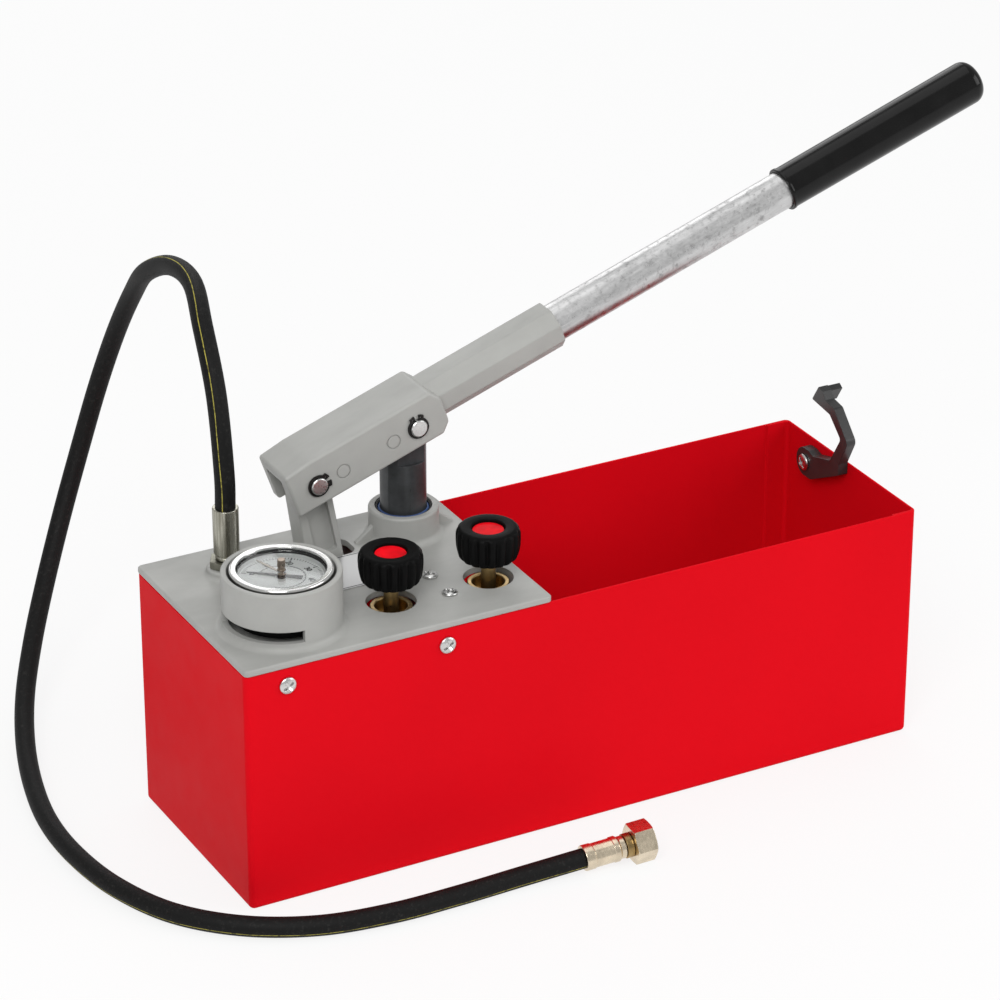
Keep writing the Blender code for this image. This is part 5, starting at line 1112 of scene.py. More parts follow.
def cover_cuts(gauge, pump, pivot):
    """Window, holes, slot and bores of the cover."""
    inner = GUARD_RADIUS - GUARD_WALL - OVERRUN
    outer = GUARD_RADIUS + GUARD_FILLET + OVERRUN
    outline = (arc((0, 0), outer, *WINDOW_TURN, SMALL_ROUND)
               + arc((0, 0), inner, *WINDOW_TURN[::-1], SMALL_ROUND))
    window = prism(outline, WINDOW_SILL, WINDOW_SILL + WINDOW_HEIGHT)
    low = -PLATE - OVERRUN
    high = OUTLET_PAD_HEIGHT + OVERRUN
    left, right, width, corner = SLOT
    slot = prism(rectangle(pivot.x - left, pivot.x + right, pump.y - width / 2, pump.y + width / 2, corner),
                 -PLATE - OVERLAP, high)
    holes = [slot, moved(rod(SOCKET_HOLE, low, high), *gauge), moved(rod(OUTLET_HOLE, low, high), *OUTLET)]
    holes += [moved(rod(VALVE_HOLE, low, high, ROUND), *(valve - ON_DECK.translation).xy) for valve in VALVES]
    holes += [moved(rod(TOP_SCREW_RADIUS, low, high), *place) for place in TOP_SCREWS]
    guide = PLUNGER_RADIUS + GAP
    above = BOSS_HEIGHT + OVERRUN
    step = BOSS_HEIGHT - SEAL_DEPTH
    under = -LOWER_BOSS_DEPTH - OVERRUN
    bore = turned(((0, above), (SEAL_BORE, above), (SEAL_BORE, step), (guide, step), (guide, under),
                   (0, under)))
    half = LUG[0] / 2 + LUG[1] + OVERRUN
    pin_hole = moved(laid(rod(PIVOT_RADIUS + GAP, -half, half), "Y"), pivot.x, pump.y, pivot.z)
    return [moved(window, *gauge), merged(*holes), moved(bore, *pump), pin_hole]


class PUMP_OT_cover(bpy.types.Operator):
    """Make the cover casting and the bare plate on it"""

    bl_idname = "test_pump.cover"
    bl_label = "Cover"

    def execute(self, context):
        piece("cover_casting", cover_shape(), "grey_paint", "pump_body", ON_DECK, ["cover_plate"])
        left, right, front, back = NAME_PLATE
        plate = softened(prism(rectangle(left, right, front, back, OVERLAP), GAP / 3, NAME_PLATE_THICKNESS),
                         NAME_PLATE_THICKNESS / 4, lambda edge: all(v.co.z > GAP for v in edge.verts), 2)
        piece("label_plate", plate, "dial_white", "pump_body", ON_DECK, look=label_foil())
        inset = NAME_PLATE_MARGIN
        line = inset + NAME_PLATE_LINE
        high = NAME_PLATE_THICKNESS + PRINT_THICKNESS
        room = prism(rectangle(left + line, right - line, front + line, back - line), -OVERRUN, OVERRUN)
        frame_line = worked(prism(rectangle(left + inset, right - inset, front + inset, back - inset), 0, high),
                            ("DIFFERENCE", room))
        piece("label_border", frame_line, "black_plastic", "pump_body", ON_DECK, even=False)
        dressed("valve_block")
        return {"FINISHED"}


def label_foil():
    """Pale satin foil of the bare plate."""
    colour = (0.42, 0.42, 0.42)
    made, tree, shader = blank("label_foil", colour, 0.36, 0.35)
    brushed = noise(tree, object_points(tree, (1, 30, 1)), 160.0)
    polished(tree, shader, brushed, 0.3, 0.7, 0.28, 0.40)
    shaded(tree, shader, colour, brushed, 0, 1, 0.94, 1.06)
    return made


def screw_head(radius, height):
    """Domed head with a cross recess; the head's underside is at the origin."""
    rim, rise = HEAD_SHARES
    dome = [(radius * math.sin(turn), height * (rim + rise * math.cos(turn)))
            for turn in [math.pi / 2 * step / HEAD_STEPS for step in range(HEAD_STEPS + 1)]]
    head = turned([*dome, (radius, 0), (0, 0)], SMALL_ROUND)
    reach = radius * CROSS_REACH_SHARE
    floor = height - CROSS_DEPTH
    cross = []
    for number in (0, 1):
        arm = prism(rectangle(-reach, reach, -CROSS_ARM / 2, CROSS_ARM / 2), floor, height + GAP)
        for vertex in arm.verts:
            if vertex.co.z < height:
                vertex.co.x *= CROSS_TAPER[0]
                vertex.co.y *= CROSS_TAPER[1]
        cross.append(spun(arm, CROSS_TURN + math.pi / 2 * number))
    return worked(head, *[("DIFFERENCE", arm) for arm in cross])


class PUMP_OT_screws(bpy.types.Operator):
    """Make the screws that hold the cover"""

    bl_idname = "test_pump.screws"
    bl_label = "Screws"

    def execute(self, context):
        height = TANK_HIGH.z - SCREW_BELOW_RIM
        sides = [((TANK_LOW.x + x, TANK_LOW.y - GAP / 2, height), (0, -1, 0)) for x in SIDE_SCREWS]
        sides += [((TANK_LOW.x + x, TANK_HIGH.y + GAP / 2, height), (0, 1, 0)) for x in SIDE_SCREWS]
        mesh = spread(screw_head(SIDE_HEAD, HEAD_HEIGHT), sides, "zinc_steel")
        finished("side_screws", mesh, "zinc_steel", "pump_body",
                 [f"side_screw_{number}" for number in (1, 2, 3, 4)])
        tops = [(ON_DECK @ Vector((x, y, GAP / 2)), (0, 0, 1)) for x, y in TOP_SCREWS]
        mesh = spread(screw_head(TOP_HEAD, HEAD_HEIGHT), tops, "zinc_steel")
        finished("top_screws", mesh, "zinc_steel", "pump_body", ["top_screw_1", "top_screw_2"])
        return {"FINISHED"}


def plunger_shape():
    """Ground plunger with its flat tongue and the hole for its pin."""
    low = -PLUNGER_LENGTH
    top = TONGUE_RADIUS + OVERRUN
    edge = PIN_CHAMFER * 2
    shaft = turned(((0, top), (PLUNGER_RADIUS, top), (PLUNGER_RADIUS, low + edge), (PLUNGER_RADIUS - edge, low),
                    (0, low)))
    wide = PLUNGER_RADIUS + OVERRUN
    flats = []
    for side in (-1, 1):
        near = side * TONGUE_THICKNESS / 2
        far = side * wide
        flats.append(("DIFFERENCE", prism(rectangle(-wide, wide, near, far), -TONGUE_DEPTH, top + OVERRUN)))
    slope = TONGUE_SHOULDER / (PLUNGER_RADIUS - TONGUE_RADIUS)
    foot = -TONGUE_SHOULDER - slope * OVERRUN
    outline = [(wide, low - OVERRUN), (wide, foot), *arc((0, 0), TONGUE_RADIUS, 0, math.pi, 24),
               (-wide, foot), (-wide, low - OVERRUN)]
    keep = laid(prism(outline, -PLUNGER_RADIUS * 2, PLUNGER_RADIUS * 2), "Y")
    hole = laid(rod(PIN_RADIUS + GAP, -wide, wide), "Y")
    return worked(shaft, *flats, ("INTERSECT", keep), ("DIFFERENCE", hole))


class PUMP_OT_pump(bpy.types.Operator):
    """Make the plunger, its seals and the cylinder"""

    bl_idname = "test_pump.pump"
    bl_label = "Pump"

    def execute(self, context):
        piece("plunger_steel", plunger_shape(), "dark_steel", "plunger", at(LEVER_PIN), ["piston"])
        high = BOSS_HEIGHT - OVERLAP
        low = BOSS_HEIGHT - SEAL_DEPTH + GAP
        inner = SEAL_SPLIT - WIPER_INSET + GAP
        wide = SEAL_BORE - GAP
        ring = turned(((inner, low), (wide, low), (wide, high - GAP), (wide - GAP, high), (SEAL_SPLIT, high),
                       (inner, high - GAP)))
        piece("boss_ring", ring, "black_rubber", "pump_body", ON_PUMP, ["seal_ring"])
        lip = PLUNGER_RADIUS + GAP
        outer = SEAL_SPLIT - WIPER_INSET
        wiper = turned(((lip, low), (outer, low), (outer, high - OVERLAP), (lip + OVERLAP / 2, high),
                        (lip, high)))
        piece("wiper", wiper, "blue_seal", "pump_body", ON_PUMP, ["wiper_seal"])
        top = -LOWER_BOSS_DEPTH - GAP
        bore = PLUNGER_RADIUS + GAP
        flange = LOWER_BOSS_RADIUS - OVERLAP
        flange_low = top - SKIRT_WALL + OVERLAP
        floor = -CYLINDER_BOTTOM + CYLINDER_FLOOR
        edge = PIN_CHAMFER
        barrel = turned(((bore, top), (flange, top), (flange, flange_low), (CYLINDER_RADIUS, flange_low),
                         (CYLINDER_RADIUS, -CYLINDER_BOTTOM + edge), (CYLINDER_RADIUS - edge, -CYLINDER_BOTTOM),
                         (CYLINDER_PORT, -CYLINDER_BOTTOM), (CYLINDER_PORT, floor), (bore, floor)))
        piece("cylinder_barrel", barrel, "zinc_steel", "pump_body", ON_PUMP, ["pump_cylinder"])
        dressed("rocker_pivot_pin", "return_pipe")
        return {"FINISHED"}


class PUMP_OT_strainer(bpy.types.Operator):
    """Make the suction pipe and its slotted strainer"""

    bl_idname = "test_pump.strainer"
    bl_label = "Strainer"

    def execute(self, context):
        slots = context.scene.pump_sizes.strainer_slots
        radius, bore, length = SUCTION
        flats, nut_height = SUCTION_NUT
        top = -CYLINDER_BOTTOM - GAP
        nut_low = top - nut_height
        pipe = worked(prism(hexagon(flats), nut_low, top),
                      ("UNION", rod(radius, top - length, nut_low + OVERLAP, ROUND)),
                      ("DIFFERENCE", rod(bore, top - length - OVERRUN, top + OVERRUN)))
        piece("suction_tube", pipe, "brass", "pump_body", ON_PUMP, ["suction_pipe"])
        outer, wall, floor_gap = STRAINER
        rim = nut_low - GAP
        floor = floor_gap - DECK
        inner = outer - wall
        neck = radius + GAP
        cup = turned(((0, floor), (outer - wall, floor), (outer, floor + wall), (outer, rim - wall / 2),
                      (outer - wall / 2, rim), (neck, rim), (neck, rim - wall), (inner, rim - wall),
                      (inner, floor + wall), (0, floor + wall)), SMALL_ROUND)
        middle = (top - length + floor) / 2
        reach = (top - length - floor) / 2 - wall
        window = laid(prism(rectangle(-STRAINER_SLOT_WIDTH / 2, STRAINER_SLOT_WIDTH / 2, -reach, reach), 0,
                            outer + OVERRUN), "Y")
        turns = [math.tau * number / slots for number in range(slots)]
        windows = spread_cutters(window, turns, middle)
        piece("strainer_cup", worked(cup, ("DIFFERENCE", windows)), "stainless", "pump_body", ON_PUMP,
              ["suction_strainer"])
        return {"FINISHED"}


def spread_cutters(shape, turns, height):
    """Copies of a cutter at several turns about Z, each clear of the axis."""
    moved(shape, 0, OVERRUN)
    copies = [moved(spun(shape.copy(), turn), 0, 0, height) for turn in turns]
    shape.free()
    return merged(*copies)


def lever_head_shape():
    """Fork over rocker and plunger that runs out into an eight-sided socket."""
    left, ahead, below, above = FORK
    length, cut_above, cut_below = FORK_CHAMFER
    bend = ahead - length
    outline = ((left, below), (bend, below), (ahead, below + cut_below), (ahead, above - cut_above),
               (bend, above), (-PIN_SPACING, above), (left, above - FORK_LEFT_DROP))
    half = FORK_WIDTH / 2
    fork = softened(laid(prism(outline, FORK_SHIFT - half, FORK_SHIFT + half), "Y"), FORK_EDGE, None, 4)
    width, height, slope = SOCKET_SIZE
    width /= 2
    height /= 2
    quarter = ((width - slope, height), (width, height - slope))
    right = [*quarter, *[(x, -z) for x, z in quarter[::-1]]]
    octagon = [*right, *[(-x, z) for x, z in right[::-1]]]
    socket = laid(prism(octagon, bend, SOCKET_END), "X")
    softened(socket, SOCKET_EDGE, lambda edge: edge.verts[0].co.x != edge.verts[1].co.x
             or edge.verts[0].co.x > SOCKET_END - WELD, 3)
    slot_width, roof, slot_end = FORK_SLOT
    near, far, split = ROCKER_SLOT
    slot = laid(prism(rectangle(split, slot_end, below - OVERRUN, roof), -slot_width / 2, slot_width / 2), "Y")
    rocker_slot = laid(prism(rectangle(left - OVERRUN, split + OVERLAP, below - OVERRUN, roof), near, far), "Y")
    bore = laid(rod(TUBE_RADIUS + GAP, TUBE_START - GAP, SOCKET_END + OVERRUN, ROUND), "X")
    across = half + OVERRUN
    pins = [moved(laid(rod(PIN_RADIUS + GAP, -across, across), "Y"), x) for x in (0, -PIN_SPACING)]
    marks_cut = []
    for x in EJECTOR_MARKS:
        for side in (-1, 1):
            face = FORK_SHIFT + side * half
            ring = tube(EJECTOR_RADIUS - EJECTOR_LINE, EJECTOR_RADIUS, face - side * EJECTOR_DEPTH,
                        face + side * OVERLAP, SMALL_ROUND)
            marks_cut.append(moved(laid(ring, "Y"), x, 0, EJECTOR_HEIGHT))
    return worked(fork, ("UNION", moved(socket, 0, 0, TUBE_ABOVE_PINS)), ("DIFFERENCE", slot),
                  ("DIFFERENCE", rocker_slot),
                  ("DIFFERENCE", moved(bore, 0, 0, TUBE_ABOVE_PINS)), ("DIFFERENCE", merged(*pins, *marks_cut)))


class PUMP_OT_lever(bpy.types.Operator):
    """Make the lever's head, tube and grip"""

    bl_idname = "test_pump.lever"
    bl_label = "Lever"

    def execute(self, context):
        piece("lever_casting", lever_head_shape(), "grey_paint", "lever", ALONG_LEVER, ["lever_head"])
        raised = ALONG_LEVER @ at((0, 0, TUBE_ABOVE_PINS))
        bore_end = GRIP_START + GRIP_LENGTH - GRIP_END_WALL
        stem = laid(tube(TUBE_RADIUS - TUBE_WALL, TUBE_RADIUS, TUBE_START, bore_end - GAP), "X")
        look = zinc_tube_metal("zinc_tube", (0.56, 0.56, 0.56))
        piece("lever_stem", stem, "zinc_steel", "lever", raised, ["lever_tube"], look=look)
        piece("hand_grip", grip_shape(bore_end), "gloss_black", "lever", raised, ["lever_grip"])
        return {"FINISHED"}


def grip_shape(bore_end):
    """Long grip with a small lip where it starts and a domed end."""
    start_radius, end_radius = GRIP_RADII
    lip_length, lip_height = GRIP_LIP
    end = GRIP_START + GRIP_LENGTH
    dome_radius = end_radius * GRIP_DOME_SHARE
    dome = arc((end_radius - dome_radius, end - dome_radius), dome_radius, math.pi / 2, 0, 12)
    lip = start_radius + lip_height
    rim = arc((lip - lip_length / 3, GRIP_START + lip_length / 3), lip_length / 3, 0, -math.pi / 2, 5)
    bore = TUBE_RADIUS + GAP
    profile = [(0, end), *dome, (start_radius, GRIP_START + lip_length * 1.5), (lip, GRIP_START + lip_length),
               *rim, (bore, GRIP_START), (bore, bore_end), (0, bore_end)]
    return laid(turned(profile), "X")


def ring_shape(turn):
    """Retaining ring with a hole in each ear, lying in XZ with its gap along the turn."""
    inner, outer, ear = RING_RADII
    start = turn + RING_GAP / 2
    end = turn + math.tau - RING_GAP / 2
    slope = RING_EAR + RING_EAR_SLOPE
    outline = (arc((0, 0), ear, start, start + RING_EAR, 4)
               + arc((0, 0), outer, start + slope, end - slope, SMALL_ROUND)
               + arc((0, 0), ear, end - RING_EAR, end, 4)
               + arc((0, 0), inner, end, start, SMALL_ROUND))
    ring = prism(outline, 0, RING_THICKNESS)
    middle = (inner + ear) / 2
    holes = [moved(rod(RING_HOLE, -OVERRUN, OVERRUN, 16), middle * math.cos(angle), middle * math.sin(angle))
             for angle in (start + RING_EAR / 2, end - RING_EAR / 2)]
    return laid(worked(ring, ("DIFFERENCE", merged(*holes))), "Y")


class PUMP_OT_pins(bpy.types.Operator):
    """Make both pins of the fork and their retaining rings"""

    bl_idname = "test_pump.pins"
    bl_label = "Pins"

    def execute(self, context):
        face = FORK_WIDTH / 2
        groove_end = face + RING_THICKNESS + GAP * 2
        end = face + PIN_PROUD
        half = [(GROOVE_RADIUS, face), (GROOVE_RADIUS, groove_end), (PIN_RADIUS, groove_end),
                (PIN_RADIUS, end - PIN_CHAMFER), (PIN_RADIUS - PIN_CHAMFER, end), (0, end)]
        profile = half[::-1] + [(PIN_RADIUS, face), (PIN_RADIUS, -face)]
        profile += [(radius, -height) for radius, height in half]
        for name, x in (("rocker_pin", -PIN_SPACING), ("piston_pin", 0)):
            place = ALONG_LEVER @ at((x, FORK_SHIFT, 0))
            pin = laid(turned(profile, SMALL_ROUND), "Y")
            piece(f"{name}_steel", pin, "zinc_steel", "lever", place, [name])
            for side, label in ((-1, "front"), (1, "back")):
                low = min(side * (face + GAP), side * (face + GAP + RING_THICKNESS))
                ring = moved(ring_shape(RING_TURNS[name]), 0, low)
                node = f"{name}_ring_{label}"
                piece(f"{node}_steel", ring, "spring_steel", "lever", place, [node], bevel=RING_BEVEL)
        return {"FINISHED"}


class PUMP_OT_rocker(bpy.types.Operator):
    """Make the rocker link"""

    bl_idname = "test_pump.rocker"
    bl_label = "Rocker"

    def execute(self, context):
        half = ROCKER_WIDTH / 2
        shift, drop, hole_radius = PIVOT_HOLE
        hole = (shift, -ROCKER_LENGTH + drop)
        shoulder = -TONGUE_SHOULDER
        outline = [*arc((0, 0), ROCKER_EYE, 0, math.pi, 20), (-half, shoulder),
                   *arc(hole, ROCKER_FOOT, math.pi, math.tau, 24), (half, shoulder)]
        thick = ROCKER_THICKNESS / 2
        link = laid(prism(outline, -thick, thick), "Y")
        softened(link, ROCKER_EDGE, lambda edge: abs(edge.verts[0].co.y - edge.verts[1].co.y) < WELD)
        web = half - ROCKER_FLANGE
        recess_top = shoulder - ROCKER_FLANGE
        recess_low = hole[1] + ROCKER_FOOT + ROCKER_FLANGE
        cuts = []
        for side in (-1, 1):
            near = side * ROCKER_WEB / 2
            far = side * (thick + OVERRUN)
            recess = prism(rectangle(-web, web, recess_low, recess_top, ROCKER_FLANGE / 2), near, far)
            cuts.append(("DIFFERENCE", laid(recess, "Y")))
        across = thick + OVERRUN
        cuts.append(("DIFFERENCE", laid(rod(PIN_RADIUS + GAP, -across, across), "Y")))
        cuts.append(("DIFFERENCE", moved(laid(rod(hole_radius, -across, across), "Y"), hole[0], 0, hole[1])))
        piece("rocker_casting", worked(link, *cuts), "grey_paint", "rocker", ALONG_ROCKER, ["rocker_link"])
        return {"FINISHED"}


def knob_profile():
    """Knob's outer profile as (radius, height, rib depth share) points, top first, down to its foot."""
    side = [Vector((KNOB_RADIUS * radius, KNOB_HEIGHT * height, depth))
            for height, radius, depth in KNOB_SHARES]
    return smooth_run([side[0], *side, side[-1]], KNOB_CURVE_STEPS)


class PUMP_OT_valves(bpy.types.Operator):
    """Make both shut-off valves with their glands, spindles and knobs"""

    bl_idname = "test_pump.valves"
    bl_label = "Valves"

    def execute(self, context):
        sizes = context.scene.pump_sizes
        for number, valve in enumerate(VALVES, 1):
            place = at(valve)
            piece(f"gland_{number}", gland_shape(), "brass", "pump_body", place, [f"valve_gland_{number}"])
            high = KNOB_LIFT + KNOB_SOCKET
            spindle = turned(((0, high), (SPINDLE_RADIUS, high), (SPINDLE_RADIUS, SPINDLE_LOW + GAP),
                              (SPINDLE_RADIUS - GAP, SPINDLE_LOW), (0, SPINDLE_LOW)))
            piece(f"spindle_{number}", spindle, "brass", f"valve_{number}", place, [f"valve_spindle_{number}"])
            knob = knob_mesh(sizes)
            knob.transform(place @ at((0, 0, KNOB_LIFT)))
            finished(f"knob_{number}", knob, "black_plastic", f"valve_{number}", [f"valve_knob_{number}"])
            low = KNOB_LIFT + KNOB_HEIGHT - DISC_RECESS + GAP
            high = low + DISC_THICKNESS
            edge = DISC_THICKNESS / 2
            rim = arc((DISC_RADIUS - edge, high - edge), edge, math.pi / 2, 0, 4)
            disc = turned([(0, high), (DISC_RADIUS - edge, high), *rim, (DISC_RADIUS, low), (0, low)])
            piece(f"red_disc_{number}", disc, "red_plastic", f"valve_{number}", place, [f"knob_disc_{number}"])
            dressed(f"valve_cone_{number}")
        return {"FINISHED"}


def gland_shape():
    """Brass gland with a threaded outside and a deep cup round the spindle."""
    cup, cup_depth = GLAND_CUP
    spigot, spigot_length = GLAND_SPIGOT
    bore = SPINDLE_RADIUS + GAP
    floor = GLAND_TOP - cup_depth
    edge = GAP * 2
    pitch = (cup_depth - edge) / GLAND_RIDGES
    thread = []
    for ridge in range(GLAND_RIDGES):
        height = GLAND_TOP - edge - ridge * pitch
        thread += [(GLAND_RADIUS, height), (GLAND_RADIUS - GLAND_RIDGE, height - pitch / 2)]
    lines = [(cup, GLAND_TOP - edge), (cup + edge, GLAND_TOP), (GLAND_RADIUS - edge, GLAND_TOP), *thread,
             (GLAND_RADIUS, GLAND_LOW), (spigot, GLAND_LOW), (spigot, GLAND_LOW - spigot_length),
             (bore, GLAND_LOW - spigot_length), (bore, floor + edge * 4), (bore + OVERLAP, floor + edge * 4),
             (bore + OVERLAP * 2, floor), (cup, floor)]
    return turned(lines)


def knob_mesh(sizes):
    """Ribbed knob with the recess for its disc and the socket for its spindle."""
    side = knob_profile()
    recess = DISC_RADIUS + GAP * 2
    recess_floor = KNOB_HEIGHT - DISC_RECESS
    socket = SPINDLE_RADIUS + GAP
    rest = [(recess + GAP * 2, KNOB_HEIGHT - GAP), (recess, KNOB_HEIGHT - GAP * 3), (recess, recess_floor),
            (0, recess_floor)]
    under = [(0, KNOB_SOCKET), (socket, KNOB_SOCKET), (socket, OVERLAP), (socket + OVERLAP, -WELD * 3)]
    profile = [*under, *[(radius, height) for radius, height, _ in side], *rest]
    rows = {round(height / WELD): depth for _, height, depth in side}
    limit = recess + OVERLAP
    return ribbed(
        profile, lambda point: rows.get(round(point.z / WELD), 0.0) if point.xy.length > limit else 0.0,
        sizes.knob_ribs, sizes.knob_groove, KNOB_RIB_SHARE, "black_plastic", ROUND * 3)


def hand_outline(length, tail, width):
    """Tapering hand along +X with a short tail."""
    half = width / 2
    at_tail, near_tip, at_tip, where = HAND_SHARES
    side = [(-tail, half * at_tail), (0, half), (length * where, half * near_tip), (length, half * at_tip)]
    return [(x, -y) for x, y in side] + side[::-1]


def figure_mesh(text, size):
    """Flat figure as a thin solid mesh, centred on the origin."""
    curve = bpy.data.curves.new("figure", "FONT")
    curve.body = text
    curve.size = size
    curve.align_x = "CENTER"
    curve.align_y = "CENTER"
    curve.extrude = PRINT_THICKNESS / 2
    curve.offset = FIGURE_WEIGHT
    made = bpy.data.objects.new("figure", curve)
    bpy.context.scene.collection.objects.link(made)
    mesh = evaluated(made)
    bpy.data.objects.remove(made)
    bpy.data.curves.remove(curve)
    return mesh


def dial_figures():
    """Plain figures round the dial, upright to the dial's own top."""
    whole = bmesh.new()
    upright = ZERO_MARK - DIAL_SWEEP / 2 - math.pi / 2
    for number, value in enumerate(FIGURES):
        turn = ZERO_MARK - DIAL_SWEEP * number / (len(FIGURES) - 1)
        mesh = figure_mesh(str(value), FIGURE_SIZE)
        mesh.transform(at((FIGURE_RADIUS * math.cos(turn), FIGURE_RADIUS * math.sin(turn), 0), (0, 0, upright)))
        whole.from_mesh(mesh)
        bpy.data.meshes.remove(mesh)
    return whole


class PUMP_OT_gauge(bpy.types.Operator):
    """Make the gauge with its dial, hands, window and bezel"""

    bl_idname = "test_pump.gauge"
    bl_label = "Gauge"

    def execute(self, context):
        sizes = context.scene.pump_sizes
        wall = DIAL_RADIUS - DIAL_WALL
        low = DIAL_TOP - DIAL_THICKNESS
        card = turned(((DIAL_HOLE, DIAL_TOP), (wall - GAP, DIAL_TOP), (wall, DIAL_TOP + GAP),
                       (wall, CASE_TOP - GAP), (DIAL_RADIUS, CASE_TOP - GAP), (DIAL_RADIUS, low),
                       (DIAL_HOLE, low)))
        piece("dial_card", card, "dial_white", "pump_body", ON_GAUGE, ["gauge_dial"])
        printed = ON_GAUGE @ at((0, 0, DIAL_TOP + PRINT_THICKNESS / 2))
        fine, bold = TICK_LENGTHS
        thin, thick = TICK_WIDTHS
        for name, count, radius, length, width in (
                ("fine_marks", sizes.dial_marks + 1, TICK_RADIUS - fine / 2, fine, thin),
                ("figure_marks", len(FIGURES), TICK_RADIUS - bold / 2, bold, thick),
                ("inner_marks", sizes.dial_marks // 2 + 1, INNER_SCALE_RADIUS, *INNER_TICK)):
            mesh = marks(count, radius, length, width)
            mesh.transform(printed)
            finished(name, mesh, "black_plastic", "pump_body", even=False)
        piece("dial_figures", dial_figures(), "black_plastic", "pump_body", printed, even=False)
        outer = INNER_SCALE_RADIUS + INNER_TICK[0] / 2
        scale_end = ZERO_MARK - DIAL_SWEEP
        line = (arc((0, 0), outer, ZERO_MARK, scale_end, ROUND)
                + arc((0, 0), outer - thin, scale_end, ZERO_MARK, ROUND))
        piece("inner_line", worked(prism(line, -PRINT_THICKNESS / 2, PRINT_THICKNESS / 2)), "black_plastic",
              "pump_body", printed, even=False)
        glass = tube(GLASS_HOLE, GLASS_RADIUS, GLASS_LOW, GLASS_LOW + GLASS_THICKNESS)
        piece("gauge_window", glass, "clear_glass", "pump_body", ON_GAUGE, ["gauge_glass"])
        piece("gauge_rim", bezel_shape(), "stainless", "pump_body", ON_GAUGE, ["gauge_bezel"])
        self.hands()
        dressed("gauge_socket", "gauge_case", "bourdon_tube", "gauge_movement")
        return {"FINISHED"}

    def hands(self):
        """Pressure hand, and the drag hand with its ridged stem."""
        length, tail, width, thickness, hub, hub_height = NEEDLE
        low = DIAL_TOP + NEEDLE_LIFT
        middle = turned(((0, hub_height), (hub * HUB_SLOPE[0], hub_height), (hub, hub_height * HUB_SLOPE[1]),
                         (hub, -GAP), (0, -GAP)), SMALL_ROUND)
        blade = prism(hand_outline(length, tail, width), 0, thickness)
        hand = worked(softened(blade, thickness / 4, None, 1), ("UNION", middle))
        piece("pressure_hand", hand, "black_plastic", "needle", ON_GAUGE @ at((0, 0, low), (0, 0, ZERO_MARK)),
              ["gauge_needle"])
        length, tail, width = DRAG_HAND
        height = low + hub_height + DRAG_LIFT - GAP
        glass = GLASS_LOW + GLASS_THICKNESS - height
        radius, neck, stem_height, foot, head = STEM
        top = glass + stem_height
        edge = GAP
        drag = worked(prism(hand_outline(length, tail, width), 0, thickness),
                      ("UNION", rod(radius, -GAP, glass + foot)),
                      ("UNION", rod(neck, glass, top - head + OVERLAP)))
        place = ON_GAUGE @ at((0, 0, height), (0, 0, DRAG_REST))
        look = worked_metal("stem_metal", (0.33, 0.27, 0.22), 0.30, uneven=0.25)
        piece("drag_pointer", drag, "zinc_steel", "drag_hand", place, ["drag_hand"], look=look)
        cap = [(0, top - head), (radius - edge, top - head), (radius, top - head + edge), (radius, top - edge),
               (radius - edge, top), (0, top)]
        mesh = ribbed(cap, lambda point: float(point.xy.length > radius - edge - WELD and point.z < top - WELD),
                      STEM_RIDGES, STEM_RIDGE, STEM_RIDGE_SHARE, "zinc_steel")
        mesh.transform(place)
        finished("reset_stem", mesh, "zinc_steel", "drag_hand", look=look)


def bezel_shape():
    """Polished rim that holds the window, rolled over at the top."""
    lip_radius, lip = BEZEL_LIP
    inner = CASE_RADIUS + GAP
    outer = inner + BEZEL_WALL
    lip_low = GLASS_LOW + GLASS_THICKNESS + GAP
    top = lip_low + lip
    roll = arc((outer - GAP, top - BEZEL_ROLL), BEZEL_ROLL, -math.pi / 3, math.pi * 0.62, 16)
    slope = arc((lip_radius + lip * 0.4, lip_low + lip * 0.5), lip * 0.4, math.pi * 0.70, math.pi, 5)
    return turned([(outer, CASE_TOP - BEZEL_SKIRT), (outer, top - BEZEL_ROLL * 2), *roll, *slope,
                   (lip_radius, lip_low), (inner, lip_low),
                   (inner, CASE_TOP - BEZEL_SKIRT)])


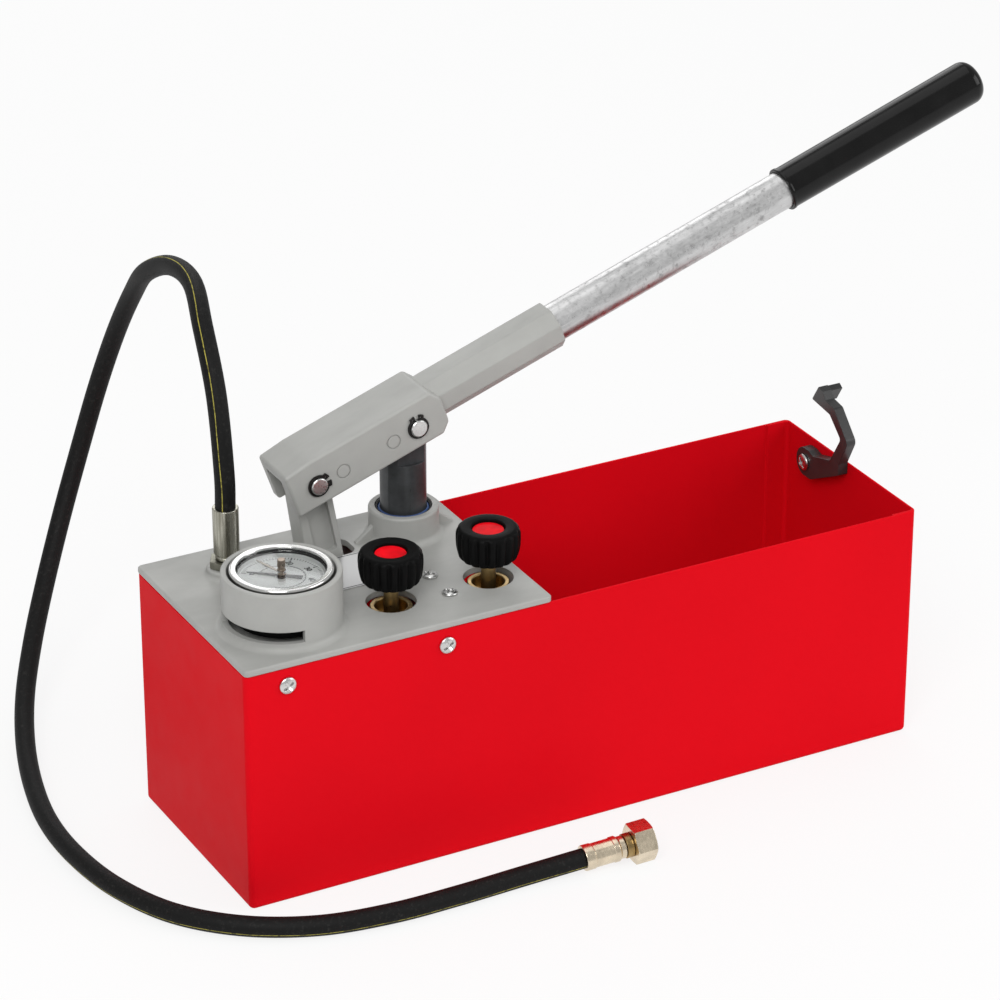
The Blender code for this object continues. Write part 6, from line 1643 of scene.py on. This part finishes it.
class PUMP_OT_latch(bpy.types.Operator):
    """Make the transport latch with its bolt and nut"""

    bl_idname = "test_pump.latch"
    bl_label = "Latch"

    def execute(self, context):
        corners = [(-LATCH_REACH * y, LATCH_RISE * z, LATCH_CORNER * radius) for y, z, radius in LATCH_SHARES]
        hook_tip, hook_top = Vector(corners[3][:2]), Vector(corners[4][:2])
        corners += [(LATCH_BOSS * y, LATCH_BOSS * z, LATCH_BOSS * radius) for y, z, radius in LATCH_BOSS_SHARES]
        arm = laid(prism(rounded(corners), -LATCH_THICKNESS, 0), "X")
        along = (hook_tip - hook_top).normalized()
        inward = Vector((along.y, -along.x))
        if inward.x > 0:
            inward = -inward
        width, thickness, inset = LATCH_TAB
        trim = along * LATCH_CORNER / 2
        outline = [hook_top + trim + inward * inset, hook_tip - trim + inward * inset,
                   hook_tip - trim + inward * thickness, hook_top + trim + inward * thickness]
        start = -LATCH_THICKNESS + OVERLAP
        tab = laid(prism([tuple(point) for point in outline], start, start + width), "X")
        head, head_height, shank = LATCH_SCREW
        hole = laid(rod(shank + GAP, -LATCH_THICKNESS - OVERRUN, OVERRUN), "X")
        shape = worked(arm, ("UNION", tab), ("DIFFERENCE", hole))
        piece("latch_moulding", shape, "black_plastic", "latch", ON_LATCH, ["latch_hook"], bevel=LATCH_BEVEL,
              look=moulding("latch_black", (0.024, 0.024, 0.024), 0.34, gloss=0.40))
        flats, nut_height = LATCH_NUT
        bolt_place = ((LATCH.x - LATCH_THICKNESS - GAP, LATCH.y, LATCH.z), (-1, 0, 0))
        finished("latch_bolt", spread(screw_head(head, head_height), [bolt_place], "zinc_steel"), "zinc_steel",
                 "pump_body", ["latch_screw"])
        outer_wall = TANK_HIGH.x - LATCH.x
        stud = laid(rod(shank, 0, outer_wall + nut_height + OVERLAP * 2), "X")
        nut = laid(prism(hexagon(flats), outer_wall + GAP / 2, outer_wall + nut_height), "X")
        piece("latch_nut_steel", worked(nut, ("UNION", stud)), "zinc_steel", "pump_body", ON_LATCH,
              ["latch_nut"], bevel=LATCH_NUT_BEVEL)
        return {"FINISHED"}


def hose_points():
    """Points along the hose's centre line, evenly spaced."""
    route = [Vector(point) for point in HOSE_ROUTE]
    dense = smooth_run([route[0] * 2 - route[1], *route, route[-1] * 2 - route[-2]], HOSE_CURVE_STEPS)
    runs = [0.0]
    for start, end in zip(dense, dense[1:]):
        runs.append(runs[-1] + (end - start).length)
    count = round(runs[-1] / HOSE_RING_SPACING)
    points = []
    index = 0
    for number in range(count + 1):
        goal = runs[-1] * number / count
        while index < len(runs) - 2 and runs[index + 1] < goal:
            index += 1
        share = (goal - runs[index]) / (runs[index + 1] - runs[index])
        points.append(dense[index].lerp(dense[index + 1], share))
    return points, runs[-1]


def hose_mesh(points, length, radius):
    """Tube round the centre line, mapped along and around, with flat ends."""
    shape = bmesh.new()
    layer = shape.loops.layers.uv.new("hose")
    up = Vector((0, 1, 0))
    rings = []
    for index, point in enumerate(points):
        run = (points[min(index + 1, len(points) - 1)] - points[max(index - 1, 0)]).normalized()
        up = (up - run * up.dot(run)).normalized()
        side = run.cross(up)
        rings.append([shape.verts.new(point + (up * math.cos(turn) + side * math.sin(turn)) * radius)
                      for turn in [math.tau * step / HOSE_SIDES for step in range(HOSE_SIDES)]])
    for number, (low, high) in enumerate(zip(rings, rings[1:])):
        for step in range(HOSE_SIDES):
            after = (step + 1) % HOSE_SIDES
            face = shape.faces.new((low[step], low[after], high[after], high[step]))
            along = [number, number, number + 1, number + 1]
            around = [step, step + 1, step + 1, step]
            for loop, run, turn in zip(face.loops, along, around):
                loop[layer].uv = (length * run / (len(rings) - 1), turn / HOSE_SIDES)
    shape.faces.new(rings[0])
    shape.faces.new(rings[-1])
    return faced_out(shape)


def ferrule_shape(length):
    """Crimped ferrule from its neck at the fitting to its open end at the hose."""
    radius, crimp, neck_radius, neck = FERRULE
    waist = radius - crimp
    waist_low, waist_high = (length * share for share in FERRULE_WAIST_SHARES)
    profile = [(0, 0), (neck_radius - crimp, 0), (neck_radius, crimp),
               (neck_radius, neck - radius + neck_radius), (radius - crimp / 2, neck), (radius, neck + crimp),
               (radius, waist_low - crimp), (waist, waist_low), (waist, waist_high),
               (radius, waist_high + crimp), (radius, length - crimp * 2),
               (radius - crimp / 2, length - crimp / 2), (waist - crimp / 2, length), (0, length)]
    shape = turned(profile)
    for vertex in shape.verts:
        if waist_low - crimp - WELD < vertex.co.z < waist_high + crimp + WELD:
            turn = math.atan2(vertex.co.y, vertex.co.x)
            flat = CRIMP_DEPTH * (0.5 - 0.5 * math.cos(turn * CRIMP_FLATS))
            share = 1 - flat / vertex.co.xy.length
            vertex.co.x *= share
            vertex.co.y *= share
    return shape


def sleeve_shape(length):
    """Plain pressed sleeve from its foot on the outlet nut to its bright rim at the hose."""
    radius, crimp = FERRULE[:2]
    return turned([*SLEEVE_FOOT, (radius, length - crimp * 2), (radius - crimp / 2, length - crimp / 2),
                   (radius - crimp * 1.5, length), (0, length)])


def union_shapes():
    """Nipple with its collar and cone, and the nut that turns on it, from the nipple's start."""
    radius, collar_length, neck, head, bore = NIPPLE
    flats, length, wall, nut_bore, chamfer = UNION_NUT
    collar = collar_length + GAP
    wall_end = collar + GAP + wall + GAP
    head_end = wall_end + wall
    edge = GAP
    nipple = turned(((bore, head_end), (neck, head_end), (head, wall_end + wall / 2), (head, wall_end),
                     (neck, wall_end), (neck, collar), (radius - edge, collar), (radius, collar - edge),
                     (radius, GAP + edge), (radius - edge, GAP), (bore, GAP)))
    start = collar + GAP
    end = start + length
    corner = flats / math.sqrt(3)
    inset, rise = NUT_BULGE
    bulge = [(corner + chamfer * (rise * math.sin(math.pi / 2 * share) - inset), start + chamfer * share)
             for share in NUT_BULGE_STEPS]
    outer = [(0, start - WELD), *bulge, *[(x, start + end - z) for x, z in bulge[::-1]], (0, end + WELD)]
    above = end + OVERRUN
    under = start - OVERRUN
    cavity = turned(((0, above), (nut_bore, above), (nut_bore, start + wall), (neck + GAP, start + wall),
                     (neck + GAP, under), (0, under)))
    nut = worked(prism(hexagon(flats), start, end), ("INTERSECT", turned(outer)), ("DIFFERENCE", cavity))
    return nipple, nut


class PUMP_OT_hose(bpy.types.Operator):
    """Make the pressure hose with its fittings and its union nut"""

    bl_idname = "test_pump.hose"
    bl_label = "Hose"

    def execute(self, context):
        sizes = context.scene.pump_sizes
        points, length = hose_points()
        look = hose_rubber("hose_rubber", context.scene.pump_looks.line)
        hose = piece("pressure_hose", hose_mesh(points, length, sizes.hose_radius), "black_rubber", "pump_body",
                     nodes=["hose"], look=look, even=False)
        flats, height = HOSE_NUT
        foot = OUTLET_PAD_HEIGHT + GAP
        nut = softened(prism(hexagon(flats), 0, height), GAP * 2, None, 2)
        outlet = ON_DECK @ at((*OUTLET, foot))
        piece("outlet_nut", nut, "brass", "pump_body", outlet, ["hose_nut"],
              look=worked_metal("dull_nickel", (0.27, 0.265, 0.22), 0.40, uneven=0.22))
        top = piece("top_ferrule", sleeve_shape(FERRULE_LENGTHS[0]), "nickel", "pump_body",
                    outlet @ at((0, 0, height + GAP)), ["hose_ferrule_top"],
                    look=streaked_metal("plated_sleeve"))
        end_turn = UNION_RUN.to_track_quat("Z", "Y").to_matrix().to_4x4()
        far = Matrix.Translation(UNION + UNION_RUN * GAP) @ end_turn
        end_length = FERRULE_LENGTHS[1]
        flip = far @ at((0, 0, end_length), (math.pi, 0, 0))
        end = piece("end_ferrule", ferrule_shape(end_length), "nickel", "pump_body", flip, ["hose_ferrule_end"])
        nipple_shape, nut_shape = union_shapes()
        start = far @ at((0, 0, end_length))
        nipple = piece("end_nipple", nipple_shape, "brass", "pump_body", start, ["hose_nipple"])
        union = piece("swivel_nut", nut_shape, "nickel", "union", start, ["union_nut"])
        return {"FINISHED"}


def pale_surface(name, albedo, glow):
    """Matt pale surface that the camera sees a little lighter, with its shadows kept."""
    made = bpy.data.materials.new(name)
    made.use_nodes = True
    tree = made.node_tree
    tree.nodes.clear()
    matt = add_node(tree, "ShaderNodeBsdfDiffuse", {"Color": (albedo, albedo, albedo, 1)})
    light = add_node(tree, "ShaderNodeEmission", {"Color": (1, 1, 1, 1), "Strength": 1.0})
    ray = add_node(tree, "ShaderNodeLightPath")
    seen = calc(tree, "MAXIMUM", ray.outputs["Is Camera Ray"], ray.outputs["Is Glossy Ray"])
    seen = calc(tree, "MAXIMUM", seen, ray.outputs["Is Transmission Ray"])
    mix = add_node(tree, "ShaderNodeMixShader", {
        0: calc(tree, "MULTIPLY", seen, glow), 1: matt.outputs[0], 2: light.outputs[0]})
    out = add_node(tree, "ShaderNodeOutputMaterial")
    tree.links.new(mix.outputs[0], out.inputs["Surface"])
    return made


class PUMP_OT_stage(bpy.types.Operator):
    """Make the floor, the lights, the sky and the camera"""

    bl_idname = "test_pump.stage"
    bl_label = "Stage"

    def execute(self, context):
        scene = context.scene
        scene.view_settings.view_transform = "Standard"
        rim = arc((0, 0), FLOOR_RADIUS, 0, math.tau * (ROUND - 1) / ROUND, ROUND - 1)
        floor = held("floor", prism(rim, -GAP, -WELD))
        floor.data.materials.append(pale_surface("floor_pale", FLOOR_TONE, FLOOR_GLOW))
        self.sky(scene)
        for name, (place, size, energy) in LAMPS.items():
            self.lamp(name, Vector(place), size, energy)
        self.camera(scene)
        return {"FINISHED"}

    def sky(self, scene):
        """Even white sky that lights the pump less than it shows."""
        world = bpy.data.worlds.new("sky")
        world.use_nodes = True
        tree = world.node_tree
        tree.nodes.clear()
        ray = add_node(tree, "ShaderNodeLightPath")
        strength = add_node(tree, "ShaderNodeMapRange", {
            "Value": ray.outputs["Is Camera Ray"], "To Min": SKY_LIGHT, "To Max": 1.0})
        light = add_node(tree, "ShaderNodeBackground", {
            "Color": (1, 1, 1, 1), "Strength": strength.outputs["Result"]})
        out = add_node(tree, "ShaderNodeOutputWorld")
        tree.links.new(light.outputs[0], out.inputs["Surface"])
        scene.world = world

    def lamp(self, name, place, size, energy):
        """Square soft light aimed at the pump."""
        light = bpy.data.lights.new(name, "AREA")
        light.shape = "SQUARE"
        light.size = size
        light.energy = energy
        made = bpy.data.objects.new(name, light)
        made.location = place
        made.rotation_euler = (CAMERA_TARGET - place).to_track_quat("-Z", "Y").to_euler()
        bpy.context.scene.collection.objects.link(made)

    def camera(self, scene):
        """Camera at the angle that the pump is shown from."""
        lens = bpy.data.cameras.new("camera")
        lens.lens = CAMERA_LENS
        made = bpy.data.objects.new("camera", lens)
        level = math.cos(CAMERA_RISE)
        back = Vector((math.sin(CAMERA_TURN) * level, -math.cos(CAMERA_TURN) * level, math.sin(CAMERA_RISE)))
        made.location = CAMERA_TARGET + back * CAMERA_DISTANCE
        made.rotation_euler = (-back).to_track_quat("-Z", "Y").to_euler()
        scene.collection.objects.link(made)
        scene.camera = made


class PUMP_PT_panel(bpy.types.Panel):
    """Panel with the pump's sizes, colours and pieces"""

    bl_label = "Test Pump"
    bl_idname = "PUMP_PT_panel"
    bl_space_type = "VIEW_3D"
    bl_region_type = "UI"
    bl_category = "Test Pump"

    def draw(self, context):
        layout = self.layout
        for group in (context.scene.pump_sizes, context.scene.pump_looks):
            for name in group.__annotations__:
                layout.prop(group, name)
        for operator in OPERATORS:
            layout.operator(operator.bl_idname)


OPERATORS = (PUMP_OT_stage, PUMP_OT_hose, PUMP_OT_tank, PUMP_OT_cover, PUMP_OT_screws, PUMP_OT_pump,
             PUMP_OT_strainer, PUMP_OT_lever, PUMP_OT_pins, PUMP_OT_rocker, PUMP_OT_valves, PUMP_OT_gauge,
             PUMP_OT_latch)
CLASSES = (PumpLooks, PumpSizes, *OPERATORS, PUMP_PT_panel)


def register():
    for made in CLASSES:
        bpy.utils.register_class(made)
    bpy.types.Scene.pump_looks = bpy.props.PointerProperty(type=PumpLooks)
    bpy.types.Scene.pump_sizes = bpy.props.PointerProperty(type=PumpSizes)


def unregister():
    del bpy.types.Scene.pump_looks
    del bpy.types.Scene.pump_sizes
    for made in reversed(CLASSES):
        bpy.utils.unregister_class(made)


def main():
    """Register the add-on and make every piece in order."""
    register()
    bpy.ops.test_pump.stage()
    bpy.ops.test_pump.hose()
    bpy.ops.test_pump.tank()
    bpy.ops.test_pump.cover()
    bpy.ops.test_pump.screws()
    bpy.ops.test_pump.pump()
    bpy.ops.test_pump.strainer()
    bpy.ops.test_pump.lever()
    bpy.ops.test_pump.pins()
    bpy.ops.test_pump.rocker()
    bpy.ops.test_pump.valves()
    bpy.ops.test_pump.gauge()
    bpy.ops.test_pump.latch()


if __name__ == "__main__":
    main()
